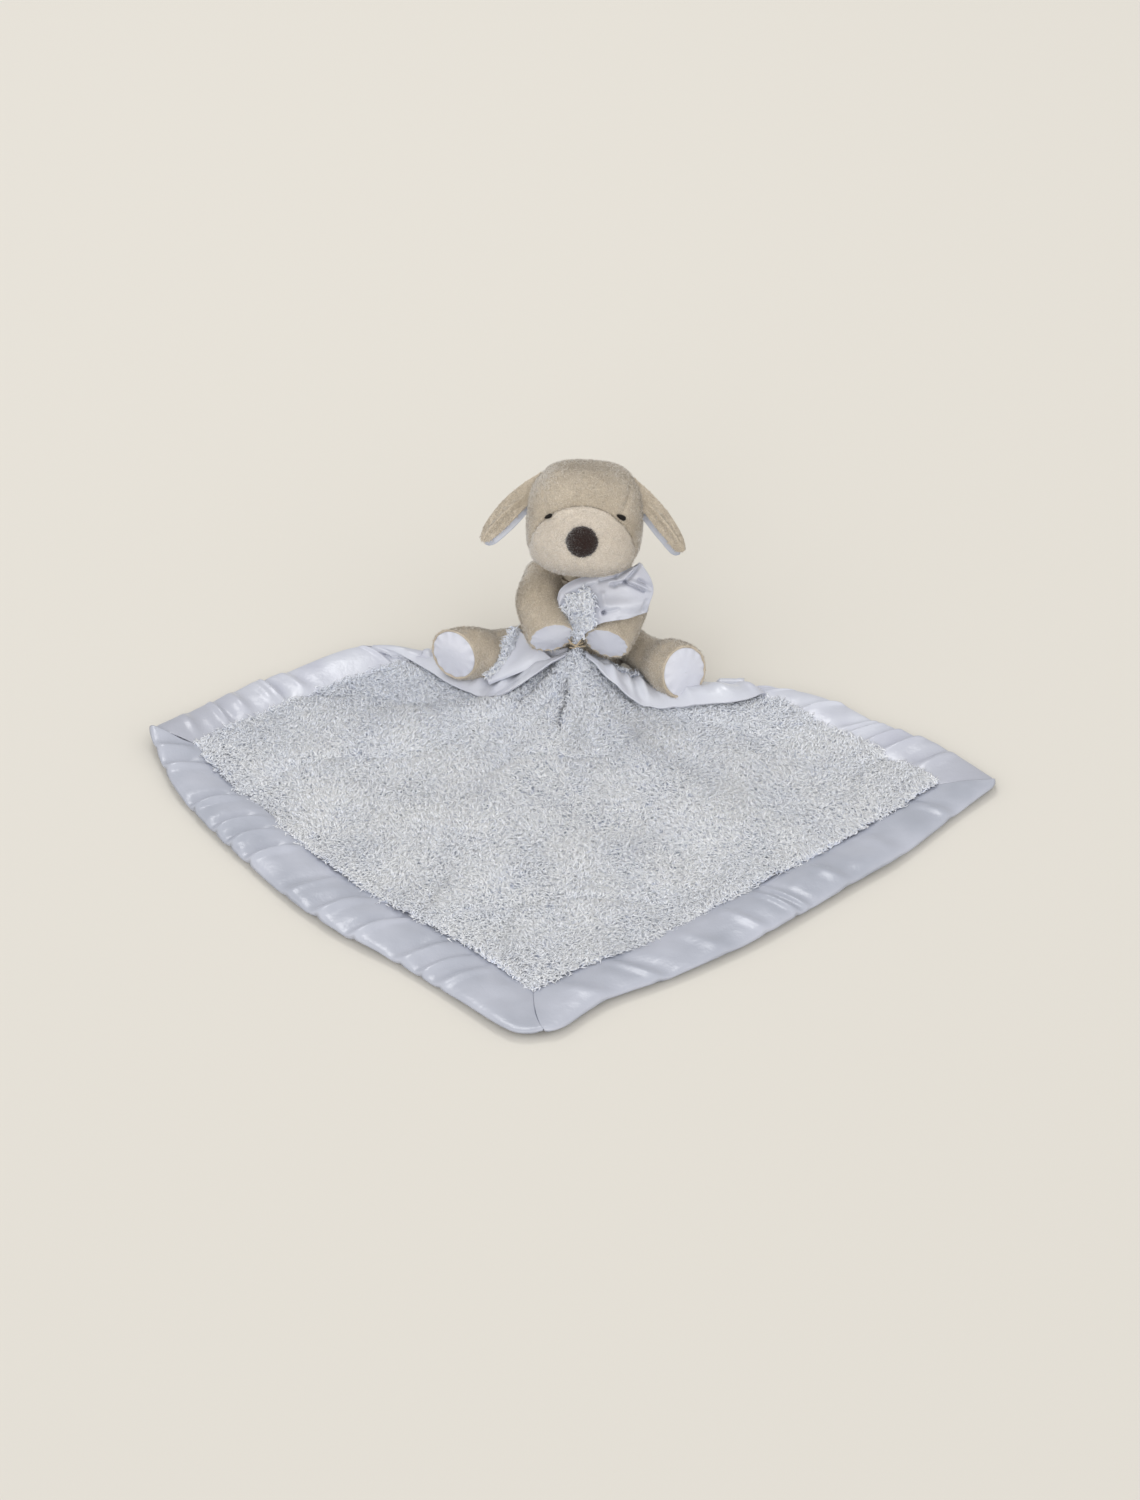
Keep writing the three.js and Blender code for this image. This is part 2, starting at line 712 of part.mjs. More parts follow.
function clothLift(point) {
  const off = point.clone().setZ(0).sub(pinchPlan);
  const reach = off.length();
  const turn = Math.atan2(off.y, off.x);
  const tent = pinchHeight * Math.max(0, 1 - reach / tentReach) ** tentPower;
  const spread = smooth(0, tentReach, reach) * (1 - smooth(tentReach, foldReach, reach));
  const fold = foldHeight * spread * Math.max(0, Math.cos(foldCount * turn + foldPhase));
  const crease = creaseDepth * Math.exp(-((off.x / creaseWidth) ** 2))
    * smooth(0, tentReach / 3, reach) * (1 - smooth(tentReach / 2, tentReach, reach));
  const tip = tipLift * Math.max(0, 1 - point.distanceTo(leftTip) / tipReach) ** 2;
  return Math.max(0, tent + fold + tip - crease);
}

function onCloth(point, above) {
  return point.clone().setZ(clothLift(point) + above);
}

// Where a back edge is turned over, the satin left on the upper side narrows to nothing
const borderShare = borderWidth / blanketSide;
const gapShare = touchGap / 2 / blanketSide;
const narrowestShare = 0.03;
const leftNarrowShares = [0.5, 0.76];
const rightNarrowShares = [0.55, 0.7];
const narrowing = ([from, to], share) => mix(1, narrowestShare, smooth(from, to, share));
const upperSatin = (shares, share) => borderShare * narrowing(shares, share);

function panelAt(i, j, grow = 0) {
  const rimGap = gapShare - grow / blanketSide;
  const low = borderShare + rimGap;
  const high = 1 - low;
  const far = 1 - borderShare * narrowestShare - rimGap;
  const alongLeft = mix(low, far, j);
  const alongRight = mix(low, far, i);
  const leftRim = 1 - upperSatin(leftNarrowShares, alongLeft) - rimGap;
  const rightRim = 1 - upperSatin(rightNarrowShares, alongRight) - rimGap;
  const patch = (near, top, side, rim, corner) => (1 - j) * near + j * top + (1 - i) * side + i * rim
    - (1 - i) * (1 - j) * low - i * (1 - j) * corner[0] - (1 - i) * j * corner[1] - i * j * far;
  const a = patch(mix(low, high, i), alongRight, low, leftRim, [high, low]);
  const b = patch(low, rightRim, mix(low, high, j), alongLeft, [low, high]);
  return planAt(a, b);
}

// Satin strips, one along each edge, mitred where two of them meet
const stripShare = borderShare - gapShare;
const mitreGapShare = gapShare * Math.SQRT2;

function stripSlab(steps, at) {
  return slab(steps, 2, (s, t) => onCloth(at(s, t), satinThick), (s, t) => onCloth(at(s, t), 0));
}

function frontStrip(place) {
  return stripSlab(18, (s, t) => {
    const inward = t * stripShare;
    return place(mix(inward + mitreGapShare, 1 - inward - mitreGapShare, s), inward);
  });
}

function backStrip(place, shares) {
  return stripSlab(14, (s, t) => {
    const along = mix(t * stripShare + mitreGapShare, shares[1], s);
    const inward = t * (upperSatin(shares, along) - gapShare);
    return place(along, 1 - inward);
  });
}

// A turned-over edge lies on the cloth from its hem to its ridge, and rises to the paws at its end
const turnedEndShare = 0.955;
const seamShare = 0.8;
const sinkShare = 0.84;
const rootEndShare = 0.03;
const rootDepthShare = 0.33;
const leftRiseShares = [[0, 0], [0.6, 0.02], [0.72, 0.34], [0.84, 0.62], [1, 0.9]];
const rightRiseShares = [[0, 0], [0.62, 0.02], [0.78, 0.2], [0.9, 0.6], [1, 0.9]];
const rootedSatinShares = [0.12, 0.3];
const rootedPlushShares = [0.5, 0.64];

function turnedEdge(hem, ridge, riseShares, from, to, sides, rooted, thick) {
  const rise = radiusTable(riseShares);
  const at = (s, t, above) => {
    const along = mix(from, to, s);
    const over = mix(sides[0], sides[1], t);
    const point = hem.getPointAt(along).lerp(ridge.getPointAt(along), over);
    const base = clothLift(point) + panelThick + touchGap;
    const raised = pinchHeight * rise(along) * over;
    const inRoot = smooth(rooted[0], rooted[0] + rootEndShare, along)
      * (1 - smooth(rooted[1] - rootEndShare, rooted[1], along));
    const sunk = above === 0 ? inRoot * smooth(sinkShare, 1, over) : 0;
    const height = mix(Math.max(base, raised), clothLift(point) + thick * rootDepthShare, sunk);
    return point.setZ(height + above);
  };
  return slab(12, 2, (s, t) => at(s, t, thick), (s, t) => at(s, t, 0));
}

const clothCutters = [
  ...['left', 'right'].map((name) => limb(legShapes[name], ballGap, padCrown + ballGap)),
  torsoCutter,
];
const satinSeamShare = 0.788;
const turnStartShare = 0.06;
const wideEndShare = 0.5;
const narrowStartShare = 0.48;
const plushStartShare = 0.52;

const turnedSatin = (hem, ridge, rise) => join(
  turnedEdge(hem, ridge, rise, turnStartShare, wideEndShare, [0, 1], rootedSatinShares, satinThick),
  turnedEdge(hem, ridge, rise, narrowStartShare, turnedEndShare, [0, satinSeamShare], [0, 0], satinThick),
);
const turnedPlush = (hem, ridge, rise) => turnedEdge(
  hem, ridge, rise, plushStartShare, turnedEndShare, [seamShare, 1], rootedPlushShares, satinThick,
);

const panelSteps = 15;
const panelSlab = (grow) => slab(
  panelSteps,
  panelSteps,
  (i, j) => onCloth(panelAt(i, j, grow), panelThick + grow),
  (i, j) => onCloth(panelAt(i, j, grow), -grow),
);
const satinCutters = [...clothCutters, panelSlab(touchGap)];
const panel = join(
  panelSlab(0),
  turnedPlush(leftHem, leftRidge, leftRiseShares),
  turnedPlush(rightHem, rightRidge, rightRiseShares),
);
add('plush_panel', cut(panel, ...clothCutters), plush);
const frontLeftStrip = frontStrip((along, inward) => planAt(along, inward));
const frontRightStrip = frontStrip((along, inward) => planAt(inward, along));
add('border_front_left', cut(frontLeftStrip, panelSlab(touchGap)), satin);
add('border_front_right', cut(frontRightStrip, panelSlab(touchGap)), satin);
add('border_back_left', cut(join(
  backStrip((along, a) => planAt(a, along), leftNarrowShares),
  turnedSatin(leftHem, leftRidge, leftRiseShares),
), ...satinCutters), satin);
add('border_back_right', cut(join(
  backStrip((along, b) => planAt(along, b), rightNarrowShares),
  turnedSatin(rightHem, rightRidge, rightRiseShares),
), ...satinCutters), satin);

// Held corner: it fans out above the paws, plush with its satin border along the top and the right
const cornerBase = pinch.clone().setZ(pinchHeight + panelThick + touchGap);
// Rims of the fan in shares of its reach: to the right, backward and up from the gathered neck
const cornerShares = {
  left: [[-0.033, 0.022, 0.089], [-0.111, 0.067, 0.267], [-0.211, 0.156, 0.467], [-0.267, 0.244, 0.622]],
  top: [
    [-0.089, 0.289, 0.756], [0.111, 0.311, 0.867], [0.444, 0.322, 0.933], [0.711, 0.278, 1.044],
    [0.844, 0.222, 1.156],
  ],
  right: [[0.978, 0.133, 0.978], [1.011, 0.111, 0.8], [0.956, 0.056, 0.622], [0.933, 0.044, 0.511]],
  bottom: [
    [0.089, -0.078, 0.222], [0.311, -0.122, 0.444], [0.489, -0.133, 0.5], [0.667, -0.1, 0.511],
    [0.822, 0, 0.5],
  ],
};
const cornerRow = (shares) => shares.map(
  (row) => cornerBase.clone().addScaledVector(vec(...row), cornerReach),
);
const cornerTip = cornerRow(cornerShares.top).at(-1);
const cornerLow = cornerRow(cornerShares.right).at(-1);
const cornerSide = cornerRow(cornerShares.left).at(-1);
const cornerEdges = {
  left: smoothCurve([cornerBase, ...cornerRow(cornerShares.left)]),
  top: smoothCurve([cornerSide, ...cornerRow(cornerShares.top)]),
  right: smoothCurve([cornerLow, ...cornerRow(cornerShares.right).slice(0, -1).reverse(), cornerTip]),
  bottom: smoothCurve([cornerBase, ...cornerRow(cornerShares.bottom), cornerLow]),
};

function cornerSheet(u, v) {
  return vec(0, 0, 0)
    .addScaledVector(cornerEdges.bottom.getPointAt(u), 1 - v)
    .addScaledVector(cornerEdges.top.getPointAt(u), v)
    .addScaledVector(cornerEdges.left.getPointAt(v), 1 - u)
    .addScaledVector(cornerEdges.right.getPointAt(v), u)
    .addScaledVector(cornerBase, -(1 - u) * (1 - v))
    .addScaledVector(cornerLow, -u * (1 - v))
    .addScaledVector(cornerSide, -(1 - u) * v)
    .addScaledVector(cornerTip, -u * v);
}

const cornerFace = vec(0, -0.86, 0.5).normalize();
const cornerAt = (u, v, out) => cornerSheet(u, v).addScaledVector(cornerFace, out);
const cornerSeamShares = [0.42, 0.76];
const cornerGapShare = 0.006;
const mitreShare = 0.5;

function cornerPlush(s, t, out) {
  const [seamU, seamV] = cornerSeamShares.map((share) => share - cornerGapShare);
  return cornerAt(s * seamU, t * seamV, out);
}

// The border runs along the top to the tip and down the right, its inner edge on the plush's seam
function cornerSatin(s, t, low) {
  const [seamU, seamV] = cornerSeamShares.map((share) => share + cornerGapShare);
  const onTop = Math.min(1, s / mitreShare);
  const onRight = Math.max(0, (s - mitreShare) / (1 - mitreShare));
  const u = mix(onTop * seamU, onTop, t);
  const v = mix(seamV * (1 - onRight), 1 - onRight, t);
  const puff = low ? 0 : cornerSatinThick + cornerPuff * Math.sin(Math.PI * t);
  return cornerAt(u, v, puff);
}

const armCutters = ['left', 'right'].map((name) => limb(armShapes[name], touchGap, padCrown + touchGap));
const headUp = up.clone().applyQuaternion(headTurn);
const headGap = 2 * touchGap;
const headRoom = (degrees) => headBody(headGap).applyQuaternion(headTurn)
  .translate(headCentre.x - neckCentre.x, headCentre.y - neckCentre.y, headCentre.z - neckCentre.z)
  .applyQuaternion(new THREE.Quaternion().setFromAxisAngle(headUp, THREE.MathUtils.degToRad(degrees)))
  .translate(neckCentre.x, neckCentre.y, neckCentre.z);
const cornerCutters = [
  ...armCutters,
  torsoCutter,
  cup(neckCentre, neckBallRadius),
  headRoom(0),
  headRoom(headTurnRight),
];
const plushCorner = slab(
  6, 7, (s, t) => cornerPlush(s, t, cornerPlushThick), (s, t) => cornerPlush(s, t, 0),
);
const satinCorner = slab(16, 3, (s, t) => cornerSatin(s, t, false), (s, t) => cornerSatin(s, t, true));
add('held_corner_plush', cut(plushCorner, ...cornerCutters), plush);
add('held_corner_satin', cut(satinCorner, ...cornerCutters), satin);

// Tack stitch across the gathered corner, from paw to paw
const tack = new THREE.CapsuleGeometry(threadRadius, tackLength, 3, 8).rotateZ(Math.PI / 2);
tack.translate(cornerBase.x, cornerBase.y - tackForward, cornerBase.z + tackDrop);
add('tack_stitch', cut(tack, ...armCutters), beigeThread);

export default part;
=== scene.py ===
"""Comfort blanket lovey: a sitting plush puppy that hugs one gathered corner of a satin-edged blanket.

Lengths are in millimetres until a mesh is made, in the CAD model's frame: +Z up, the puppy faces -Y,
and the origin is the middle of its seat on the floor.
"""
import math

import bpy
import numpy as np
from mathutils import Matrix, Vector


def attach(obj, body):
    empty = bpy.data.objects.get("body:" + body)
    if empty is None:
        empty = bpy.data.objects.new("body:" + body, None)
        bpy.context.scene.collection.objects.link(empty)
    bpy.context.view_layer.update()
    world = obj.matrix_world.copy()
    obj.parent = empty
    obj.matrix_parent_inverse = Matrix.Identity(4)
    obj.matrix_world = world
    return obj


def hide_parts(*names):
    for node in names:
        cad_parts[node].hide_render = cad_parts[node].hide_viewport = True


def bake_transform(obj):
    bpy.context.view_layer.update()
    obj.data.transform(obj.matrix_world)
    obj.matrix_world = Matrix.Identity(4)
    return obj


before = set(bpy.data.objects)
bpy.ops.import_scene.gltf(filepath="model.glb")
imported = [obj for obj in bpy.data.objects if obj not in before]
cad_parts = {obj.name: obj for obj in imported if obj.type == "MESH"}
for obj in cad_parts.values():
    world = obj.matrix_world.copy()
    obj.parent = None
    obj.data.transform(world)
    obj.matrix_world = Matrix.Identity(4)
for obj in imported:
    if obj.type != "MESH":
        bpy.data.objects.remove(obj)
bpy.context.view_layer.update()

MM = 0.001
# Height in mm below which no point of a piece lies
floor_gap = 0.05


# Numbers and curves

def smooth(low, high, value):
    """0 up to low, 1 from high on, and a smooth rise between them."""
    share = np.clip((np.asarray(value, float) - low) / (high - low), 0.0, 1.0)
    return share * share * (3.0 - 2.0 * share)


def mix(a, b, share):
    return a + (b - a) * share


def unit(vectors):
    vectors = np.asarray(vectors, float)
    return vectors / np.maximum(np.linalg.norm(vectors, axis=-1, keepdims=True), 1e-9)


def lumps(points, size, seed):
    """Smooth lumps from -1 to 1, size mm across, at points (..., 3)."""
    shape = points.shape[:-1]
    place = points.reshape(-1, 3) / size
    cell = np.floor(place).astype(np.int64)
    part = place - cell
    part = part * part * (3.0 - 2.0 * part)
    total = np.zeros(len(place))
    for dx in (0, 1):
        for dy in (0, 1):
            for dz in (0, 1):
                key = (cell[:, 0] + dx) * 73856093 ^ (cell[:, 1] + dy) * 19349663
                key = key ^ (cell[:, 2] + dz) * 83492791 ^ (seed * 2654435761)
                key = (key ^ (key >> 13)) * 1274126177 & 0x7FFFFFFF
                key = (key ^ (key >> 11)) * 668265263 & 0x7FFFFFFF
                value = (key & 0xFFFF) / 32767.5 - 1.0
                weight = (
                    np.where(dx, part[:, 0], 1 - part[:, 0])
                    * np.where(dy, part[:, 1], 1 - part[:, 1])
                    * np.where(dz, part[:, 2], 1 - part[:, 2])
                )
                total += value * weight
    return total.reshape(shape)


class Path:
    """A smooth curve through points, read by its share of the way along."""

    def __init__(self, points, fine=60):
        knots = np.array(points, float)
        knots = np.vstack([2 * knots[0] - knots[1], knots, 2 * knots[-1] - knots[-2]])
        gaps = np.sqrt(np.linalg.norm(np.diff(knots, axis=0), axis=1))
        line = []
        t = np.linspace(0, 1, fine, endpoint=False)[:, None]
        for i in range(1, len(knots) - 2):
            before, step, after = gaps[i - 1], gaps[i], gaps[i + 1]
            a, b, c, d = knots[i - 1:i + 3]
            out = ((b - a) / before - (c - a) / (before + step) + (c - b) / step) * step
            arrive = ((c - b) / step - (d - b) / (step + after) + (d - c) / after) * step
            line.append(
                (2 * t**3 - 3 * t**2 + 1) * b + (t**3 - 2 * t**2 + t) * out
                + (-2 * t**3 + 3 * t**2) * c + (t**3 - t**2) * arrive
            )
        self.line = np.vstack(line + [knots[-2][None, :]])
        run = np.linalg.norm(np.diff(self.line, axis=0), axis=1)
        self.run = np.concatenate([[0], np.cumsum(run)]) / run.sum()

    def at(self, share):
        share = np.clip(share, 0, 1)
        return np.stack([np.interp(share, self.run, self.line[:, k]) for k in range(3)], axis=-1)

    def way(self, share):
        share = np.asarray(share, float)
        return unit(self.at(np.minimum(share + 0.01, 1)) - self.at(np.maximum(share - 0.01, 0)))


def filled(a, b, bottom, top, left, right):
    """Place on a patch between four curves: a runs along bottom and top, b along left and right."""
    wa, wb = np.asarray(a, float)[..., None], np.asarray(b, float)[..., None]
    point = bottom.at(a) * (1 - wb) + top.at(a) * wb
    point = point + left.at(b) * (1 - wa) + right.at(b) * wa
    point = point - bottom.line[0] * (1 - wa) * (1 - wb) - bottom.line[-1] * wa * (1 - wb)
    return point - top.line[0] * (1 - wa) * wb - top.line[-1] * wa * wb


def table(pairs):
    """A reader of values at shares of a length, joined smoothly."""
    shares, values = np.array(pairs, float).T

    def read(share):
        share = np.asarray(share, float)
        k = np.clip(np.searchsorted(shares, share), 1, len(shares) - 1)
        part = (share - shares[k - 1]) / (shares[k] - shares[k - 1])
        return mix(values[k - 1], values[k], smooth(0, 1, part))

    return read


# Meshes

def make_piece(name, points, faces, body, slot, material, uv=None):
    """A finished piece at the origin, from points in mm, no lower than the floor.

    It rides on its body, if one is named. uv is a map value for each point.
    """
    points = np.array(points, float).reshape(-1, 3)
    points[:, 2] = np.maximum(points[:, 2], floor_gap)
    mesh = bpy.data.meshes.new(name)
    mesh.from_pydata((points * MM).tolist(), [], faces)
    mesh.validate()
    mesh.update()
    mesh.shade_smooth()
    if uv is not None:
        layer = mesh.uv_layers.new(name="strand")
        corner = np.empty(len(mesh.loops), dtype=np.int32)
        mesh.loops.foreach_get("vertex_index", corner)
        layer.data.foreach_set("uv", np.asarray(uv, float).reshape(-1, 2)[corner].ravel())
    piece = bpy.data.objects.new(name, mesh)
    bpy.context.scene.collection.objects.link(piece)
    mesh.materials.append(material)
    if body:
        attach(piece, body)
    return piece


def grid_normals(grid):
    across = np.gradient(grid, axis=0)
    along = np.gradient(grid, axis=1)
    return unit(np.cross(across, along))


def grid_faces(index):
    a, b = index[:-1, :-1], index[1:, :-1]
    c, d = index[1:, 1:], index[:-1, 1:]
    return np.stack([a, b, c, d], axis=-1).reshape(-1, 4)


def sheet_body(top, thick, face):
    """A closed sheet under a grid of top points, thinned to nothing at its rims. Gives points and faces.

    thick is one thickness, or one for each column of the grid. face is the way that the top looks.
    """
    thick = np.broadcast_to(thick, top.shape[:2])
    if np.sum(grid_normals(top) @ np.asarray(face, float)) < 0:
        top, thick = top[:, ::-1], thick[:, ::-1]
    rows, columns = top.shape[:2]
    normal = grid_normals(top)
    down = np.linalg.norm(np.diff(top, axis=0), axis=2)
    over = np.linalg.norm(np.diff(top, axis=1), axis=2)
    from_first = np.vstack([np.zeros((1, columns)), np.cumsum(down, axis=0)])
    from_left = np.hstack([np.zeros((rows, 1)), np.cumsum(over, axis=1)])
    rim = np.minimum(np.minimum(from_first, from_first[-1] - from_first),
                     np.minimum(from_left, from_left[:, -1:] - from_left))
    swell = np.sqrt(np.clip(1 - (1 - np.clip(rim / thick, 0, 1)) ** 2, 0, 1))
    bottom = top - normal * (thick * swell)[..., None]
    upper = np.arange(rows * columns).reshape(rows, columns)
    lower = upper.copy()
    inner = np.arange((rows - 2) * (columns - 2)).reshape(rows - 2, columns - 2) + rows * columns
    lower[1:-1, 1:-1] = inner
    points = np.vstack([top.reshape(-1, 3), bottom[1:-1, 1:-1].reshape(-1, 3)])
    faces = np.vstack([grid_faces(upper), grid_faces(lower)[:, ::-1]])
    return points, faces.tolist()


def ring_body(rings):
    """A closed body through rings (n, sides, 3), a pole at each end."""
    count, sides = rings.shape[:2]
    points = np.vstack([rings.reshape(-1, 3), rings[0].mean(0)[None], rings[-1].mean(0)[None]])
    index = np.arange(count * sides).reshape(count, sides)
    index = np.hstack([index, index[:, :1]])
    faces = grid_faces(index).tolist()
    first, last = count * sides, count * sides + 1
    faces += [[first, index[0, j + 1], index[0, j]] for j in range(sides)]
    faces += [[last, index[-1, j], index[-1, j + 1]] for j in range(sides)]
    corners = points[[f[:3] for f in faces]]
    if np.einsum("ij,ij->i", corners[:, 0], np.cross(corners[:, 1], corners[:, 2])).sum() < 0:
        faces = [f[::-1] for f in faces]
    return points, faces


def joined(*bodies):
    """Several bodies, each of points and faces, as the points and faces of one."""
    points, faces, start = [], [], 0
    for more, these in bodies:
        points.append(np.asarray(more).reshape(-1, 3))
        faces += [[start + k for k in f] for f in these]
        start += len(points[-1])
    return np.vstack(points), faces


# Materials

def linear(code):
    """An sRGB hex colour as linear RGBA."""
    parts = [int(code[k:k + 2], 16) / 255 for k in (0, 2, 4)]
    return (*[p / 12.92 if p <= 0.04045 else ((p + 0.055) / 1.055) ** 2.4 for p in parts], 1.0)


def add_node(tree, kind, inputs=None, **settings):
    """Adds a shader node, sets its fields, and fills its sockets with values or other nodes' outputs."""
    made = tree.nodes.new(kind)
    for field, value in settings.items():
        setattr(made, field, value)
    for socket, value in (inputs or {}).items():
        if isinstance(value, bpy.types.NodeSocket):
            tree.links.new(value, made.inputs[socket])
        else:
            made.inputs[socket].default_value = value
    return made


def new_material(name, **shader):
    """A material with its Principled shader set from named sockets. Returns material, tree and shader."""
    material = bpy.data.materials.new(name)
    material.use_nodes = True
    tree = material.node_tree
    surface = tree.nodes["Principled BSDF"]
    for socket, value in shader.items():
        surface.inputs[socket.replace("_", " ")].default_value = value
    return material, tree, surface


def per_metre(millimetres):
    """Noise scale whose features are about so many millimetres across."""
    return 1000.0 / millimetres


def velour_finish(name, dark, light, sheen=0.35):
    """Brushed polyester velour: a 1.5 mm nap that lies one way or the other in soft patches, dead matt.

    Its fibres are about 0.1 mm across, too fine to show, so their pattern is drawn 1.1 mm wide.
    """
    patch_wide, fibre_wide, fibre_high = 16.0, 1.1, 0.35
    material, tree, surface = new_material(name, Roughness=0.92, Sheen_Weight=sheen, Sheen_Roughness=0.45)
    surface.inputs["Specular IOR Level"].default_value = 0.15
    place = add_node(tree, "ShaderNodeTexCoord").outputs["Object"]
    patches = add_node(tree, "ShaderNodeTexNoise", {
        "Vector": place, "Scale": per_metre(patch_wide), "Detail": 3.0, "Roughness": 0.55,
    })
    fibres = add_node(tree, "ShaderNodeTexNoise", {
        "Vector": place, "Scale": per_metre(fibre_wide), "Detail": 3.0, "Roughness": 0.7,
    })
    brushed = add_node(tree, "ShaderNodeMapRange", {
        "Value": patches.outputs["Fac"], "From Min": 0.32, "From Max": 0.68,
    })
    nap = add_node(tree, "ShaderNodeMapRange", {
        "Value": fibres.outputs["Fac"], "From Min": 0.3, "From Max": 0.7,
    })
    both = add_node(tree, "ShaderNodeMix", {
        0: 0.42, 2: brushed.outputs["Result"], 3: nap.outputs["Result"],
    }, data_type="FLOAT")
    colour = add_node(tree, "ShaderNodeMix", {
        0: both.outputs[0], 6: linear(dark), 7: linear(light),
    }, data_type="RGBA")
    relief = add_node(tree, "ShaderNodeBump", {
        "Height": nap.outputs["Result"], "Distance": fibre_high * MM,
    })
    tree.links.new(colour.outputs[2], surface.inputs["Base Color"])
    tree.links.new(relief.outputs["Normal"], surface.inputs["Normal"])
    return material


# Where the painted shade toward the side tips starts and where it is full, in mm from the middle
painted_shade_starts, painted_shade_ends = 165.0, 245.0


def satin_finish(name, dark, light, far=None):
    """Polyester satin: long floats of thread give a soft wide gloss.

    Its weave of 0.1 mm is too fine to show, so the relief is only that of the cloth's small creases.
    far is its colour far out to either side: painted shade that darkens the strip toward the blanket's side
    tips.
    """
    cloud_wide, crease_wide, crease_high = 30.0, 9.0, 0.5
    material, tree, surface = new_material(name, Roughness=0.28, Sheen_Weight=0.1, Sheen_Roughness=0.3)
    surface.inputs["Specular IOR Level"].default_value = 0.8
    place = add_node(tree, "ShaderNodeTexCoord").outputs["Object"]
    cloudy = add_node(tree, "ShaderNodeTexNoise", {
        "Vector": place, "Scale": per_metre(cloud_wide), "Detail": 2.0,
    })
    share = add_node(tree, "ShaderNodeMapRange", {
        "Value": cloudy.outputs["Fac"], "From Min": 0.3, "From Max": 0.7,
    })
    colour = add_node(tree, "ShaderNodeMix", {
        0: share.outputs["Result"], 6: linear(dark), 7: linear(light),
    }, data_type="RGBA")
    # Painted shade: the colour darkens toward far at either side.
    if far:
        split = add_node(tree, "ShaderNodeSeparateXYZ", {"Vector": place})
        aside = add_node(tree, "ShaderNodeMath", {0: split.outputs["X"]}, operation="ABSOLUTE")
        outer = add_node(tree, "ShaderNodeMapRange", {
            "Value": aside.outputs[0], "From Min": painted_shade_starts * MM, "From Max": painted_shade_ends * MM,
        })
        colour = add_node(tree, "ShaderNodeMix", {
            0: outer.outputs["Result"], 6: colour.outputs[2], 7: linear(far),
        }, data_type="RGBA")
    creased = add_node(tree, "ShaderNodeTexNoise", {
        "Vector": place, "Scale": per_metre(crease_wide), "Detail": 4.0, "Roughness": 0.6,
    })
    relief = add_node(tree, "ShaderNodeBump", {
        "Height": creased.outputs["Fac"], "Distance": crease_high * MM,
    })
    tree.links.new(colour.outputs[2], surface.inputs["Base Color"])
    tree.links.new(relief.outputs["Normal"], surface.inputs["Normal"])
    return material


def pile_finish(name, root, tip, shade):
    """Pile and nap: soft crimped polyester strands, pale at their tips; their dim root colour is painted
    shade between them.

    The strand map runs from root to tip in x, and from shade to tip colour in y.
    """
    material, tree, surface = new_material(name, Roughness=0.95, Sheen_Weight=0.75, Sheen_Roughness=0.5)
    surface.inputs["Specular IOR Level"].default_value = 0.1
    strand = add_node(tree, "ShaderNodeUVMap", uv_map="strand")
    split = add_node(tree, "ShaderNodeSeparateXYZ", {"Vector": strand.outputs["UV"]})
    up_strand = add_node(tree, "ShaderNodeMapRange", {
        "Value": split.outputs["X"], "From Min": 0.0, "From Max": 0.6,
    })
    pale = add_node(tree, "ShaderNodeMix", {
        0: split.outputs["Y"], 6: linear(shade), 7: linear(tip),
    }, data_type="RGBA")
    colour = add_node(tree, "ShaderNodeMix", {
        0: up_strand.outputs["Result"], 6: linear(root), 7: pale.outputs[2],
    }, data_type="RGBA")
    tree.links.new(colour.outputs[2], surface.inputs["Base Color"])
    return material


def fine_finish(name, dark, light, grain, high, roughness):
    """A fine even grain, so many mm wide and high: knitted backing cloth, or the twist of a thread."""
    material, tree, surface = new_material(name, Roughness=roughness)
    surface.inputs["Specular IOR Level"].default_value = 0.15
    place = add_node(tree, "ShaderNodeTexCoord").outputs["Object"]
    twist = add_node(tree, "ShaderNodeTexNoise", {
        "Vector": place, "Scale": per_metre(grain), "Detail": 2.0,
    })
    share = add_node(tree, "ShaderNodeMapRange", {
        "Value": twist.outputs["Fac"], "From Min": 0.35, "From Max": 0.65,
    })
    colour = add_node(tree, "ShaderNodeMix", {
        0: share.outputs["Result"], 6: linear(dark), 7: linear(light),
    }, data_type="RGBA")
    relief = add_node(tree, "ShaderNodeBump", {
        "Height": share.outputs["Result"], "Distance": high * MM,
    })
    tree.links.new(colour.outputs[2], surface.inputs["Base Color"])
    tree.links.new(relief.outputs["Normal"], surface.inputs["Normal"])
    return material


velour = velour_finish("beige_velour", "a99c88", "d6cbba")
muzzle_velour = velour_finish("pale_beige_velour", "c8bdae", "e3dacd")
nose_velour = velour_finish("dark_brown_velour", "241816", "41302c", sheen=0.12)
satin = satin_finish("silver_blue_satin", "a2a7b4", "b5b9c6")
# A lighter copy of the satin: painted light on the back borders, with painted shade toward their tips.
back_satin_painted_light = satin_finish("silver_blue_satin_painted_light_back", "b6b9c7", "cbcfd9", far="a6a9b5")
# A lighter copy of the satin: painted light on the held corner.
held_satin_painted_light = satin_finish("silver_blue_satin_painted_light_held", "b5b8c5", "cdd0da")
# A lighter copy of the satin: painted gloss on the pads.
pad_satin_painted_gloss = satin_finish("silver_blue_satin_painted_gloss_on_pads", "c8cbd8", "d5d7e1")
# Root colours of the pile and nap are painted shade between the strands; shade and tip colours set each
# strand's tone.
pile = pile_finish("silver_blue_chenille_pile", root="dbe2f3", tip="fafcff", shade="dbe2f1")
velour_nap = pile_finish("beige_velour_nap", root="aa9d8a", tip="ece3d6", shade="c5b9a6")
